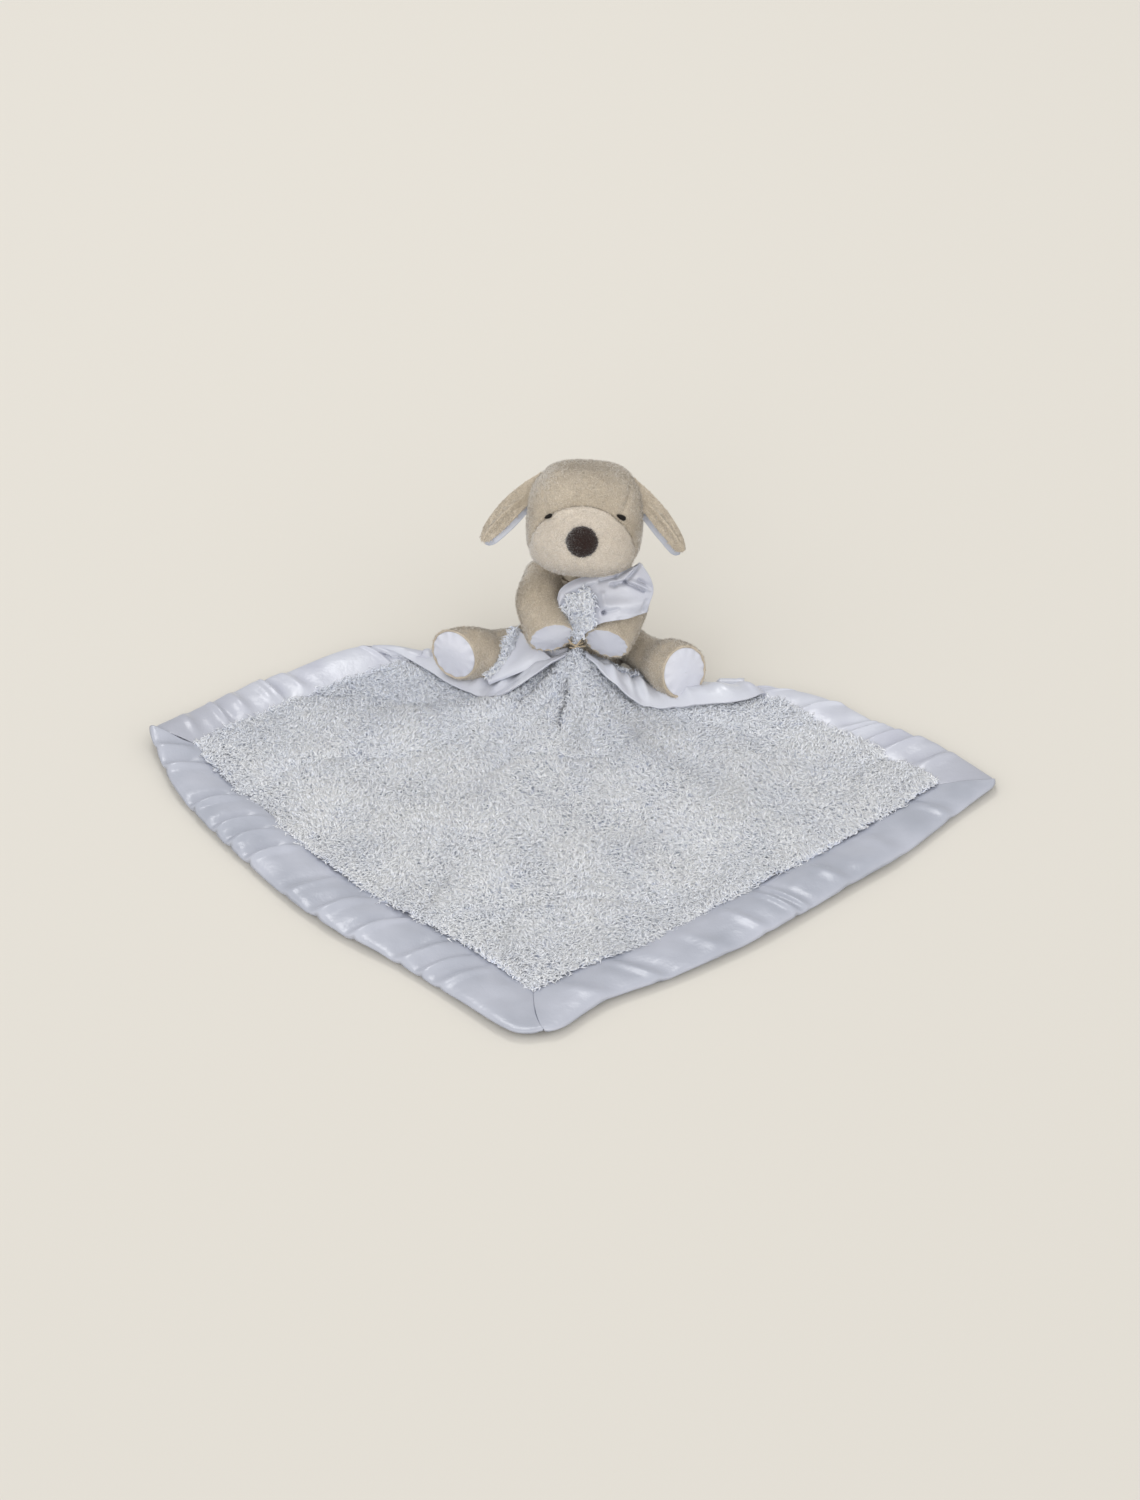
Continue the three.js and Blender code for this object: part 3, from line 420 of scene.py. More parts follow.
# The muzzle nap's shade colour is painted shade on the muzzle's sides, and its tip colour painted light on
# its middle.
muzzle_nap = pile_finish("pale_beige_velour_nap", root="c9beaf", tip="fbf3ea", shade="cfc4b4")
nose_nap = pile_finish("dark_brown_velour_nap", root="1c1311", tip="3f302b", shade="281d1a")
# The backing is its own knit, drawn darker than the pile so that the gaps between strands and the bare
# creases hold painted shade.
ground = fine_finish(
    "silver_blue_pile_backing_and_painted_shade", "c3c9d8", "d2d7e3", grain=2.2, high=0.6, roughness=0.98,
)
black_thread = fine_finish(
    "black_embroidery_thread", "0c0a09", "241f1c", grain=0.5, high=0.15, roughness=0.5,
)
beige_thread = fine_finish(
    "beige_sewing_thread", "a39279", "c4b59c", grain=0.5, high=0.15, roughness=0.6,
)

# Pile and nap strands

nap_length, nap_width, nap_per_mm2 = 1.8, 0.55, 1.7
nap_lean, nap_comb = 1.0, 2.0
nap_steps = (0.0, 1.0)
strand_steps = (0.0, 0.5, 1.0)


def outward(top, face=None):
    """A grid turned so that its normals point along face, or away from its middle."""
    way = top - top.reshape(-1, 3).mean(0) if face is None else np.asarray(face, float)
    return top[:, ::-1] if np.sum(grid_normals(top) * way) < 0 else top


def strands_on(tops, per_mm2, length, width, lean, seed,
               steps=strand_steps, comb=0.0, bare=None, lit_share=None):
    """Three-sided curled strands standing on grids of points. Returns points, faces and the strand map.

    steps are the shares of a strand's length at which it bends. comb lays the strands over in patches.
    The map runs from root to tip in x and holds the strand's tone in y.
    bare tells of a place whether it has no strands, and the last argument how pale the strands there are
    drawn, from 0 to 1: painted light.
    """
    rng = np.random.default_rng(seed)
    roots, ways = [], []
    for top in tops:
        normal = grid_normals(top)
        a, b = top[:-1, :-1].reshape(-1, 3), top[1:, :-1].reshape(-1, 3)
        c, d = top[1:, 1:].reshape(-1, 3), top[:-1, 1:].reshape(-1, 3)
        area = 0.5 * np.linalg.norm(np.cross(c - a, d - b), axis=1)
        cell = np.repeat(np.arange(len(area)), rng.poisson(area * per_mm2))
        u, v = rng.random((2, len(cell), 1))
        roots.append((a[cell] * (1 - u) + b[cell] * u) * (1 - v) + (d[cell] * (1 - u) + c[cell] * u) * v)
        ways.append(normal[:-1, :-1].reshape(-1, 3)[cell])
    root, normal = np.vstack(roots), np.vstack(ways)
    if bare is not None:
        kept = ~bare(root)
        root, normal = root[kept], normal[kept]
    total = len(root)
    patch = np.stack([lumps(root, 26.0, seed + k) for k in range(3)], axis=-1)
    tilt = unit(np.cross(normal, rng.normal(size=(total, 3)) + comb * patch))
    side = np.cross(normal, tilt)
    size = length * rng.uniform(0.65, 1.2, (total, 1))
    thick = width * rng.uniform(0.75, 1.25, (total, 1))
    stand = unit(normal + tilt * lean * rng.uniform(0.2, 1.4, (total, 1)))
    curl = rng.uniform(0.25, 0.9, (total, 1)) * size
    turn = rng.uniform(-1, 1, (total, 1))
    rings = []
    for share in steps:
        centre = root + stand * size * share + (tilt * share**2 + side * turn * np.sin(share * 3.0)) * curl
        centre = centre - normal * 0.5 * curl * share**3
        around = [(1.0, 0.0), (-0.5, 0.87), (-0.5, -0.87)] if share < 1 else [(0.0, 0.0)]
        rings += [centre + (tilt * p + side * q) * thick * 0.5 for p, q in around]
    points = np.stack(rings, axis=1)
    size = points.shape[1]
    base = (np.arange(total) * size)[:, None, None]
    quads = [[low + k, low + (k + 1) % 3, low + 3 + (k + 1) % 3, low + 3 + k]
             for low in range(0, size - 4, 3) for k in range(3)]
    tips = [[size - 4 + k, size - 4 + (k + 1) % 3, size - 1] for k in range(3)]
    faces = (base + np.array(tips)[None]).reshape(-1, 3).tolist()
    if quads:
        faces = (base + np.array(quads)[None]).reshape(-1, 4).tolist() + faces
    along = np.append(np.repeat(steps[:-1], 3), 1.0)
    tone = 0.6 * rng.random(total) + 0.4 * np.clip(0.5 + 0.9 * lumps(root, 15.0, seed + 7), 0, 1)
    # Painted light: strands are drawn paler where the place is given more light.
    if lit_share is not None:
        tone = 0.5 * tone + 0.5 * lit_share(root)
    tone = np.repeat(tone[:, None], size, axis=1)
    uv = np.stack([np.broadcast_to(along, (total, size)), tone], axis=-1)
    return points.reshape(-1, 3), faces, uv.reshape(-1, 2)


def napped(name, rings, body, slot="velour_cover", material=None, length=nap_length, per_mm2=nap_per_mm2,
           seed=3, lit_share=None):
    """Short brushed nap over a closed body's rings."""
    around = np.concatenate([rings, rings[:, :1]], axis=1)
    points, faces, uv = strands_on(
        [outward(around)], per_mm2, length, nap_width, nap_lean, seed, nap_steps,
        comb=nap_comb, lit_share=lit_share,
    )
    return make_piece(name, points, faces, body, slot, material or velour_nap, uv)


# Blanket plan

upward = (0, 0, 1)
toward_camera = np.array([0, -0.802, 0.598])
blanket_side = 356.0
border_width = 34.0
panel_thick = 4.0
satin_thick = 2.2
gap = 0.3
pinch = np.array([-2.0, -33.0, 38.0])
pinch_plan = pinch * [1, 1, 0]


def plan(shares):
    """Places on the floor from shares of the blanket's side."""
    return [np.array([x * blanket_side, y * blanket_side, 0.0]) for x, y in shares]


# The tips, and places along the edges between them, as shares of the side from the puppy's seat
front_tip, left_tip, right_tip = plan([(-0.056, -0.961), (-0.727, -0.199), (0.698, -0.331)])
front_left = plan([(-0.107, -0.944), (-0.25, -0.809), (-0.427, -0.663), (-0.57, -0.483), (-0.668, -0.337)])
front_right = plan([(0.028, -0.879), (0.185, -0.787), (0.346, -0.663), (0.48, -0.548), (0.621, -0.404)])
back_left = plan([(-0.629, -0.105), (-0.5, -0.006), (-0.376, 0.05)])
back_right = plan([(0.604, -0.225), (0.5, -0.157), (0.43, -0.1), (0.326, -0.067)])
left_turn, right_turn = back_left[-1], back_right[-1]


def beside_way(start, shares, sign):
    """Places along the straight way from start to the pinch, put off it to the front or the back."""
    way = pinch_plan - start
    length = np.linalg.norm(way)
    forward = np.array([way[1], -way[0], 0.0]) / length
    if forward[1] > 0:
        forward = -forward
    return [start + way * at + forward * sign * off * length for at, off in shares]


left_ridge_points = beside_way(left_turn, [(0.2, 0.025), (0.45, 0.045), (0.66, 0.055), (0.86, 0.03)], -1)
right_ridge_points = beside_way(right_turn, [(0.2, 0.03), (0.42, 0.05), (0.66, 0.03), (0.86, 0.01)], -1)
left_hem = Path([left_turn, *beside_way(left_turn, [
    (0.13, 0.005), (0.25, 0.035), (0.49, 0.14), (0.68, 0.185), (0.8, 0.15), (0.9, 0.06),
], 1), pinch_plan])
right_hem = Path([right_turn, *beside_way(right_turn, [
    (0.07, 0.13), (0.18, 0.195), (0.34, 0.2), (0.54, 0.19), (0.73, 0.17), (0.85, 0.115), (0.94, 0.04),
], 1), pinch_plan])
left_ridge = Path([left_turn, *left_ridge_points, pinch_plan])
right_ridge = Path([right_turn, *right_ridge_points, pinch_plan])
edge_front_left = Path([front_tip, *front_left, left_tip])
edge_front_right = Path([front_tip, *front_right, right_tip])
edge_back_left = Path([left_tip, *back_left, *left_ridge_points, pinch_plan])
edge_back_right = Path([right_tip, *back_right, *right_ridge_points, pinch_plan])

# How the blanket's tips are rounded: place, way inward, depth and reach
tip_rounds = [
    (front_tip, unit([0.1, 1.0, 0.0]), 2.5, 9.0), (left_tip, unit([0.8, -0.6, 0.0]), 3.4, 13.0),
    (right_tip, unit([-1.0, 0.1, 0.0]), 5.2, 13.0),
]


def plan_at(a, b):
    """Plan place of a cloth point: a runs along the front left edge, b along the front right one."""
    point = filled(a, b, edge_front_left, edge_back_right, edge_front_right, edge_back_left)
    for tip, inward, deep, wide in tip_rounds:
        near = np.maximum(0, 1 - np.linalg.norm(point - tip, axis=-1) / wide) ** 2
        point = point + inward * (deep * near)[..., None]
    return point


tent_reach, fold_reach = 85.0, 210.0
fold_high, fold_count = 6.0, 7
tip_lift, tip_lift_reach = 5.0, 46.0
side_lift, side_lift_reach, side_lift_place = 4.0, 26.0, np.array([-138.0, 16.0])


def cloth_lift(point):
    """Height of the cloth's underside: a tent below the pinch, folds that run out from it, two lifts."""
    off = point[..., :2] - pinch_plan[:2]
    reach = np.linalg.norm(off, axis=-1)
    turn = np.arctan2(off[..., 1], off[..., 0])
    tent = pinch[2] * np.maximum(0, 1 - reach / tent_reach) ** 3
    wide = smooth(0, tent_reach, reach) * (1 - smooth(tent_reach, fold_reach, reach))
    fold = fold_high * wide * np.maximum(0, np.cos(fold_count * turn + 0.9))
    crease = 5.0 * np.exp(-((off[..., 0] / 5.0) ** 2))
    crease = crease * smooth(0, 28.0, reach) * (1 - smooth(42.0, tent_reach, reach))
    from_tip = np.linalg.norm(point[..., :2] - left_tip[:2], axis=-1)
    tip = tip_lift * np.maximum(0, 1 - from_tip / tip_lift_reach) ** 2
    from_side = np.linalg.norm(point[..., :2] - side_lift_place, axis=-1)
    beside = side_lift * np.exp(-(from_side / side_lift_reach) ** 2)
    return np.maximum(0, tent + fold + tip + beside - crease)


border_share = border_width / blanket_side
narrowest = 0.03
left_narrow, right_narrow = (0.5, 0.76), (0.55, 0.7)


def upper_satin(span, share):
    """Share of the side that a back border takes, which narrows where the edge is turned over."""
    return border_share * mix(1.0, narrowest, smooth(span[0], span[1], share))


def panel_at(i, j, over):
    """Plan place on the pile panel. over widens it under the satin's inner seam."""
    low = border_share - over
    high = 1 - low
    far = 1 - border_share * narrowest + over
    along_left, along_right = mix(low, far, j), mix(low, far, i)
    left_rim = 1 - upper_satin(left_narrow, along_left) + over
    right_rim = 1 - upper_satin(right_narrow, along_right) + over

    def patch(near, top, side, rim, corner):
        """One share on the panel, from that share along its four rims and at its corners."""
        edges = (1 - j) * near + j * top + (1 - i) * side + i * rim
        edges = edges - (1 - i) * (1 - j) * low - i * (1 - j) * corner[0]
        return edges - (1 - i) * j * corner[1] - i * j * far

    a = patch(mix(low, high, i), along_right, low, left_rim, (high, low))
    b = patch(low, right_rim, mix(low, high, j), along_left, (low, high))
    return plan_at(a, b)


def soft_swell(point):
    """Low lumps and short creases of the laid pile cloth."""
    return (1.7 * lumps(point, 48.0, 11) + 1.1 * lumps(point, 23.0, 12)
            - 1.8 * np.exp(-(lumps(point, 64.0, 13) / 0.1) ** 2))


crease_start, crease_length, crease_depth = -37.0, 60.0, 9.0


def sharp_crease(point):
    """Depth of the crease that runs forward from below the pinch, where the cloth folds on itself."""
    run = (crease_start - point[..., 1]) / crease_length
    middle = mix(-3.6, -12.0, np.clip(run / 0.34, 0, 1))
    middle = middle + 1.6 * np.sin(point[..., 1] / 5.0)
    wide = 2.3 + 0.8 * np.clip(run, 0, 1)
    depth = crease_depth * np.exp(-((point[..., 0] - middle) / wide) ** 2)
    return depth * smooth(0, 0.1, run) * (1 - smooth(0.4, 0.75, run))


# Each crease that fans out from the gather: its way in degrees, its depth and its length
gather_creases = [(-128, 2.4, 46), (-112, 1.6, 34), (-74, 2.2, 40), (-60, 1.8, 52), (-43, 2.0, 36)]


def pinch_creases(point):
    """Depth of the short creases that fan out from the gather."""
    off = point[..., :2] - pinch_plan[:2]
    reach = np.linalg.norm(off, axis=-1)
    turn = np.degrees(np.arctan2(off[..., 1], off[..., 0]))
    depth = 0.0
    for way, deep, far in gather_creases:
        beside = reach * np.sin(np.radians(turn - way - 5 * np.sin(reach / 9.0)))
        wide = 0.9 + reach * 0.035
        depth = depth + deep * np.exp(-(beside / wide) ** 2) * (1 - smooth(0.5 * far, far, reach))
    return depth * smooth(5, 12, reach)


hollow_depth, hollow_wide = 7.0, 3.2


def hem_hollow(point):
    """Depth of the hollow under the lifted left hem."""
    start, run = np.array([-35.0, -46.0]), np.array([19.0, 13.0])
    share = np.clip((point[..., :2] - start) @ run / (run @ run), 0, 1)
    off = np.linalg.norm(point[..., :2] - start - share[..., None] * run, axis=-1)
    return hollow_depth * np.exp(-(off / hollow_wide) ** 2)


def hollowed(point):
    """Whether a place lies so deep in a crease or hollow that it shows no pile, only the backing, whose
    darker colour is painted shade there.
    """
    return (sharp_crease(point) > 4.0) | (hem_hollow(point) > 5.4)


def painted_front_light(point):
    """Share of painted light on the pile: its strands are drawn paler toward the front, where more light
    falls, and darker toward the back.
    """
    return 0.15 + 0.85 * smooth(10.0, -130.0, point[..., 1])


# Pile panel

panel_rows = 134
backing_thick = 2.6
backing_overlap_share, pile_overlap_share = 0.004, 0.011
panel_shares = np.linspace(0, 1, panel_rows)
panel_i, panel_j = np.meshgrid(panel_shares, panel_shares, indexing="ij")
panel_plan = panel_at(panel_i, panel_j, backing_overlap_share)
panel_top = panel_plan.copy()
panel_top[..., 2] = cloth_lift(panel_plan) + panel_thick - 1.2 + soft_swell(panel_plan)
panel_top[..., 2] -= sharp_crease(panel_plan) + hem_hollow(panel_plan) + pinch_creases(panel_plan)
panel = make_piece(
    "blanket_backing", *sheet_body(panel_top, backing_thick, upward), "root", "plush_pile", ground,
)
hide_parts("plush_panel")

# Satin borders

strip_rows, strip_columns = 430, 26
edge_thick = 5.2


def gathers(along, across, places, slant, deep, reach=1.0):
    """Sharp ridges of gathered satin. Each starts at a place (mm) on the outer edge and slants inward."""
    height = np.zeros_like(along)
    for place, strength, wide in places:
        off = (along - place - slant * across) / wide
        fade = 1 - smooth(0.55 * reach, 1.05 * reach, across / border_width)
        height += deep * strength * fade * (np.exp(-off**2) - 0.8 * np.exp(-((off - 2.1) / 1.7) ** 2))
    return height


def scattered(seed, first, last, count):
    """Places, strengths and widths of gathers strewn unevenly along an edge."""
    rng = np.random.default_rng(seed)
    places = np.sort(rng.uniform(first, last, count))
    return [(place, rng.uniform(0.35, 1.0), rng.uniform(1.8, 3.6)) for place in places]


def satin_strip(place, span, ridges, slant, deep, seed, lift, shift):
    """Top surface of a binding: share t = 0 is its outer edge, t = 1 its seam beside the pile.

    Its outer edge stands about lift mm high, and about shift mm further to the front than the plan.
    """
    s, t = np.meshgrid(np.linspace(0, 1, strip_rows), np.linspace(0, 1, strip_columns), indexing="ij")
    along, inward = span(s, t)
    gathered = gathers(along * blanket_side, t * border_width, ridges, slant, deep)
    pulled = inward + np.maximum(gathered, 0) * 0.35 * (1 - t) ** 4 / blanket_side
    top = place(along, pulled)
    uneven = 1 + 0.4 * lumps(top * [1, 1, 0], 42.0, seed + 3)
    within = (1 - smooth(0.78, 1.0, along)) * smooth(-0.02, 0.06, along)
    top[..., 1] -= shift * uneven * (1 - t) ** 3 * within
    skewed = t**0.8
    dome = np.clip(4 * skewed * (1 - skewed), 0, 1) ** 0.7
    rim = (lift + 2.0 * lumps(top * [1, 1, 0], 70.0, seed + 2)) * (1 - t)
    wavy = 1.3 * lumps(top * [1, 1, 0], 34.0, seed) + 0.7 * lumps(top * [1, 1, 0], 15.0, seed + 1)
    folds = (gathered + wavy) * (0.25 + 0.75 * dome) * (1 - t**6)
    top[..., 2] = cloth_lift(top) + 0.9 + 0.4 * smooth(0, 0.1, t) + rim + 3.0 * dome + folds
    top[..., 2] = np.maximum(top[..., 2], 1.1)
    return top


strip_share = border_share - gap / 2 / blanket_side


def front_span(s, t):
    """Shares along and across a front border, whose two ends are mitred."""
    inward = t * strip_share
    return mix(inward, 1 - inward, s), inward


def back_span(shares):
    """Shares along and across a back border, mitred at its first end and narrowed between the shares."""
    def span(s, t):
        along = mix(t * strip_share, shares[1], s)
        return along, t * (upper_satin(shares, along) - gap / blanket_side)
    return span


# Gathers along the front borders: place, strength and width
front_left_gathers = [
    (72, 0.5, 3.0), (86, 0.7, 2.4), (101, 0.6, 3.2), (134, 0.8, 2.6), (161, 0.9, 3.4), (186, 0.35, 3.0),
    (223, 1.0, 2.6), (242, 1.0, 2.4), (257, 0.9, 2.2), (281, 1.1, 2.4), (319, 0.9, 2.8), (336, 0.6, 3.0),
]
front_right_gathers = [
    (48, 0.6, 5.0), (83, 1.0, 3.8), (127, 0.45, 4.6), (156, 0.7, 3.2), (180, 1.2, 2.4), (188, 0.8, 2.2),
    (219, 0.8, 4.2), (262, 0.4, 5.0), (308, 0.9, 3.8),
]
strip_front_left = satin_strip(
    plan_at, front_span, front_left_gathers,
    slant=-0.5, deep=3.4, seed=21, lift=4.6, shift=4.6,
)
strip_front_right = satin_strip(
    lambda along, inward: plan_at(inward, along), front_span, front_right_gathers,
    slant=-0.25, deep=1.8, seed=24, lift=4.6, shift=5.8,
)
strip_back_left = satin_strip(
    lambda along, inward: plan_at(1 - inward, along), back_span(left_narrow), scattered(27, 30, 250, 11),
    slant=0.1, deep=2.6, seed=27, lift=3.0, shift=2.4,
)
strip_back_right = satin_strip(
    lambda along, inward: plan_at(along, 1 - inward), back_span(right_narrow), scattered(30, 30, 230, 11),
    slant=0.1, deep=2.0, seed=30, lift=3.0, shift=2.4,
)

# Turned-over back edges

# Height of each ridge as a share of the pinch's, along its edge
left_rise = table([(0, 0), (0.58, 0.02), (0.72, 0.42), (0.84, 0.76), (1, 0.98)])
right_rise = table([(0, 0), (0.58, 0.02), (0.74, 0.3), (0.86, 0.72), (1, 0.98)])
past_ridge = 1.14
turned_length = 130.0


def turned_top(edge, span, low, narrowed):
    """Top of a turned-over edge within a span of its length, wrapped down behind its ridge.

    It starts at the share low of the way from hem to ridge, and is narrowed where the pile shows instead.
    """
    hem, ridge, rise, folds = edge
    s, t = np.meshgrid(np.linspace(0, 1, 150), np.linspace(0, 1, 28), indexing="ij")
    along = mix(span[0], span[1], s)
    high = past_ridge - narrowed * smooth(0.42, 0.54, along) * (1 - smooth(0.74, 0.82, along))
    over = 0.5 + (mix(low, high, t) - 0.5) * smooth(0, 0.07, along)
    inside = np.minimum(over, 1.0)[..., None]
    from_hem, to_ridge = hem.at(along), ridge.at(along)
    point = from_hem * (1 - inside) + to_ridge * inside
    width = np.linalg.norm(to_ridge - from_hem, axis=-1)
    base = cloth_lift(point) + mix(0.6, panel_thick + 0.6, smooth(0, 0.16, along))
    raised = pinch[2] * rise(along) * inside[..., 0]
    puff = 4.2 * np.sin(np.pi * np.clip(over, 0, 1)) * np.clip(width / 18.0, 0, 1)
    puff = puff * smooth(0.04, 0.2, along) * (1 - smooth(0.86, 0.96, along))
    hem_lift = 5.0 * smooth(0.66, 0.8, along) * (1 - smooth(0.88, 0.97, along)) * (1 - np.clip(over, 0, 1))
    crease = gathers(along * turned_length, over * width, folds, slant=0.35, deep=2.2, reach=2.0)
    crease = crease * np.sin(np.pi * np.clip(over, 0.06, 0.94))
    point[..., 2] = np.maximum(base, raised) + satin_thick + puff + hem_lift + crease
    beyond = np.maximum(over - 1.0, 0.0)
    turn = beyond / (high - 1.0 + 1e-9) * math.pi * 0.85
    behind = unit(to_ridge - from_hem + 1e-6)
    radius = (panel_thick + satin_thick) / 2
    point = point + behind * (radius * np.sin(turn))[..., None]
    point[..., 2] -= radius * (1 - np.cos(turn))
    return point


left_folds = [(22, 0.5, 4.0), (47, 0.7, 4.0), (72, 1.3, 3.0), (84, 1.0, 2.6), (103, 0.6, 4.0)]
right_folds = [(16, 0.7, 3.0), (34, 0.5, 4.0), (58, 1.0, 3.0), (70, 1.2, 2.6),
               (83, 1.3, 2.4), (91, 0.9, 2.2), (103, 1.0, 3.0)]
left_edge = (left_hem, left_ridge, left_rise, left_folds)
right_edge = (right_hem, right_ridge, right_rise, right_folds)
turned_satin_left, turned_satin_right = (
    turned_top(edge, (0.002, 0.955), low=0.0, narrowed=0.35) for edge in (left_edge, right_edge)
)
turned_pile_left, turned_pile_right = (
    turned_top(edge, (0.46, 0.8), low=0.8, narrowed=0.0) for edge in (left_edge, right_edge)
)

# The blanket's edge between the left leg and the left arm: a strip of pile beside a fan of satin
tuck_path = Path([
    (-56.5, -28, 15.4), (-51.5, -25.5, 19.2), (-45.8, -20.4, 25.8),
    (-41.0, -13.4, 32.4), (-38.5, -7.4, 37.2),
])
s, t = np.meshgrid(np.linspace(0, 1, 60), np.linspace(-1, 1, 16), indexing="ij")
tuck_wide = 3.6 * np.sin(np.pi * (0.12 + 0.7 * s))
tuck = tuck_path.at(s) + (t * tuck_wide)[..., None] * unit([0.85, -0.32, -0.43])
tuck = tuck + toward_camera * (1.2 * (1 - t**2))[..., None]
s, t = np.meshgrid(np.linspace(0, 1, 60), np.linspace(0, 1, 40), indexing="ij")
tuck_foot, tuck_end = np.array([-55.0, -31.5, 12.0]), np.array([-16.0, -33.0, 32.0])
tuck_satin = tuck_path.at(s) * (1 - t[..., None]) + mix(tuck_foot, tuck_end, s[..., None]) * t[..., None]
tuck_swell = 1.6 * np.sin(np.pi * t) + 0.9 * np.sin(9 * t + 3 * s) * s
tuck_satin = tuck_satin + toward_camera * tuck_swell[..., None]

turned_pile_thick, tuck_pile_thick, tuck_satin_thick = 2.4, 1.4, 1.6
stuffed_thick = mix(edge_thick, satin_thick, smooth(0.15, 0.5, np.linspace(0, 1, strip_columns)))
for name, node, strips, cloth in (
    ("satin_front_left", "border_front_left", [strip_front_left], satin),
    ("satin_front_right", "border_front_right", [strip_front_right], satin),
    ("satin_back_left", "border_back_left", [strip_back_left, turned_satin_left], back_satin_painted_light),
    ("satin_back_right", "border_back_right", [strip_back_right, turned_satin_right], back_satin_painted_light),
):
    bodies = [sheet_body(strips[0], stuffed_thick, upward)]
    bodies += [sheet_body(top, satin_thick, upward) for top in strips[1:]]
    if name == "satin_back_left":
        bodies.append(sheet_body(tuck_satin, tuck_satin_thick, toward_camera))
    piece = make_piece(name, *joined(*bodies), "root", "satin_trim", cloth)
    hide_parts(node)

turned_backing = make_piece(
    "turned_pile_backing",
    *joined(sheet_body(turned_pile_left, turned_pile_thick, upward),
            sheet_body(turned_pile_right, turned_pile_thick, upward),
            sheet_body(tuck, tuck_pile_thick, toward_camera)),
    "root", "plush_pile", ground,
)

# Pile strands of the laid blanket, in pieces small enough to keep whole


def pile_piece(name, points, faces, uv):
    piece = make_piece(name, points, faces, "root", "plush_pile", pile, uv)
    return piece


blanket_grid = panel_at(panel_i, panel_j, pile_overlap_share)
blanket_grid[..., 2] = panel_top[..., 2]
blanket_grid = outward(blanket_grid, upward)
rows_each = 19
for k, start in enumerate(range(0, len(blanket_grid) - 1, rows_each)):
    part = blanket_grid[start:start + rows_each + 1]
    pile_piece(f"blanket_pile_{k + 1}", *strands_on(
        [part], per_mm2=1.36, length=4.2, width=0.945, lean=0.75, seed=500,
        comb=1.6, bare=hollowed, lit_share=painted_front_light,
    ))
turned_columns = 20
pile_piece("turned_pile", *strands_on(
    [outward(top[:, :turned_columns], upward) for top in (turned_pile_left, turned_pile_right)],
    per_mm2=1.2, length=5.5, width=1.2, lean=0.6, seed=6,
))
pile_piece("tucked_pile", *strands_on(
    [outward(tuck, toward_camera)], per_mm2=1.8, length=3.4, width=0.95, lean=0.7, seed=9,
))

# Puppy head

head_centre = np.array([3.0, -2.0, 112.0])
head_turn = np.array(
    Matrix.Rotation(math.radians(-3.5), 3, "Z")
    @ Matrix.Rotation(math.radians(2), 3, "Y")
    @ Matrix.Rotation(math.radians(-20), 3, "X")
)
neck_centre = np.array([1.5, 0.0, 76.0])
muzzle_way = unit([0, -1, -0.25])
head_radius, head_front, head_back = 33.7, 35.0, 32.0
head_squareness = 2.9
muzzle_swell, muzzle_spread = 5.0, 38.0


def to_world(local):
    """Places in the model's frame, from places seen from the middle of the straight head."""
    return local @ head_turn.T + head_centre


def head_point(way, grow=0.0):
    """Place on the head, seen from its middle: a squarish ball with the muzzle swelling out of it."""
    way = unit(way)
    sizes = (head_radius, np.where(way[..., 1] < 0, head_front, head_back), head_radius)
    total = sum(np.abs(way[..., k] / sizes[k]) ** head_squareness for k in range(3))
    off = np.degrees(np.arccos(np.clip(way @ muzzle_way, -1, 1))) / muzzle_spread
    return way * (total ** (-1 / head_squareness) + muzzle_swell * np.exp(-off * off) + grow)[..., None]


def polar_way(lean, turn):
    """Way out from a middle: lean is its angle from the front (-Y), turn runs around that axis."""
    return np.stack([
        np.sin(lean) * np.cos(turn), -np.cos(lean) + 0 * turn, np.sin(lean) * np.sin(turn),
    ], axis=-1)


def muzzle_reach(point):
    """Below 0 on the muzzle panel: under an arch at the front and before a leaning plane at the sides."""
    lean = math.radians(24)
    arch_wide, arch_deep, arch_low = 32.0, 128.0, 14.2
    behind = point[..., 1] * math.cos(lean) + point[..., 2] * math.sin(lean) + 15.0
    arch = (point + [0, 0, arch_low]) / [arch_wide, arch_deep, arch_wide]
    arch = arch_wide * (np.sqrt(np.sum(arch**2, axis=-1)) - 1)
    return 2.0 * np.log(np.exp(behind / 2.0) + np.exp(arch / 2.0))


turns = np.linspace(0, 2 * np.pi, 260, endpoint=False)
leans = np.linspace(0.1, 2.9, 700)
reach = muzzle_reach(head_point(polar_way(leans[:, None], turns[None, :])))
seam_lean = leans[np.argmax(reach > 0, axis=0)]
for _ in range(3):
    seam_lean = (np.roll(seam_lean, 1) + 2 * seam_lean + np.roll(seam_lean, -1)) / 4
eye_ways = [unit([-0.635, -1, 0.245]), unit([0.7, -1, 0.32])]


def chin_hollow(way):
    """Depth by which the chin is pressed in over the held corner."""
    return 4.0 * smooth(0.4, 0.85, -way[..., 2]) * smooth(-0.5, 0.1, -way[..., 1])


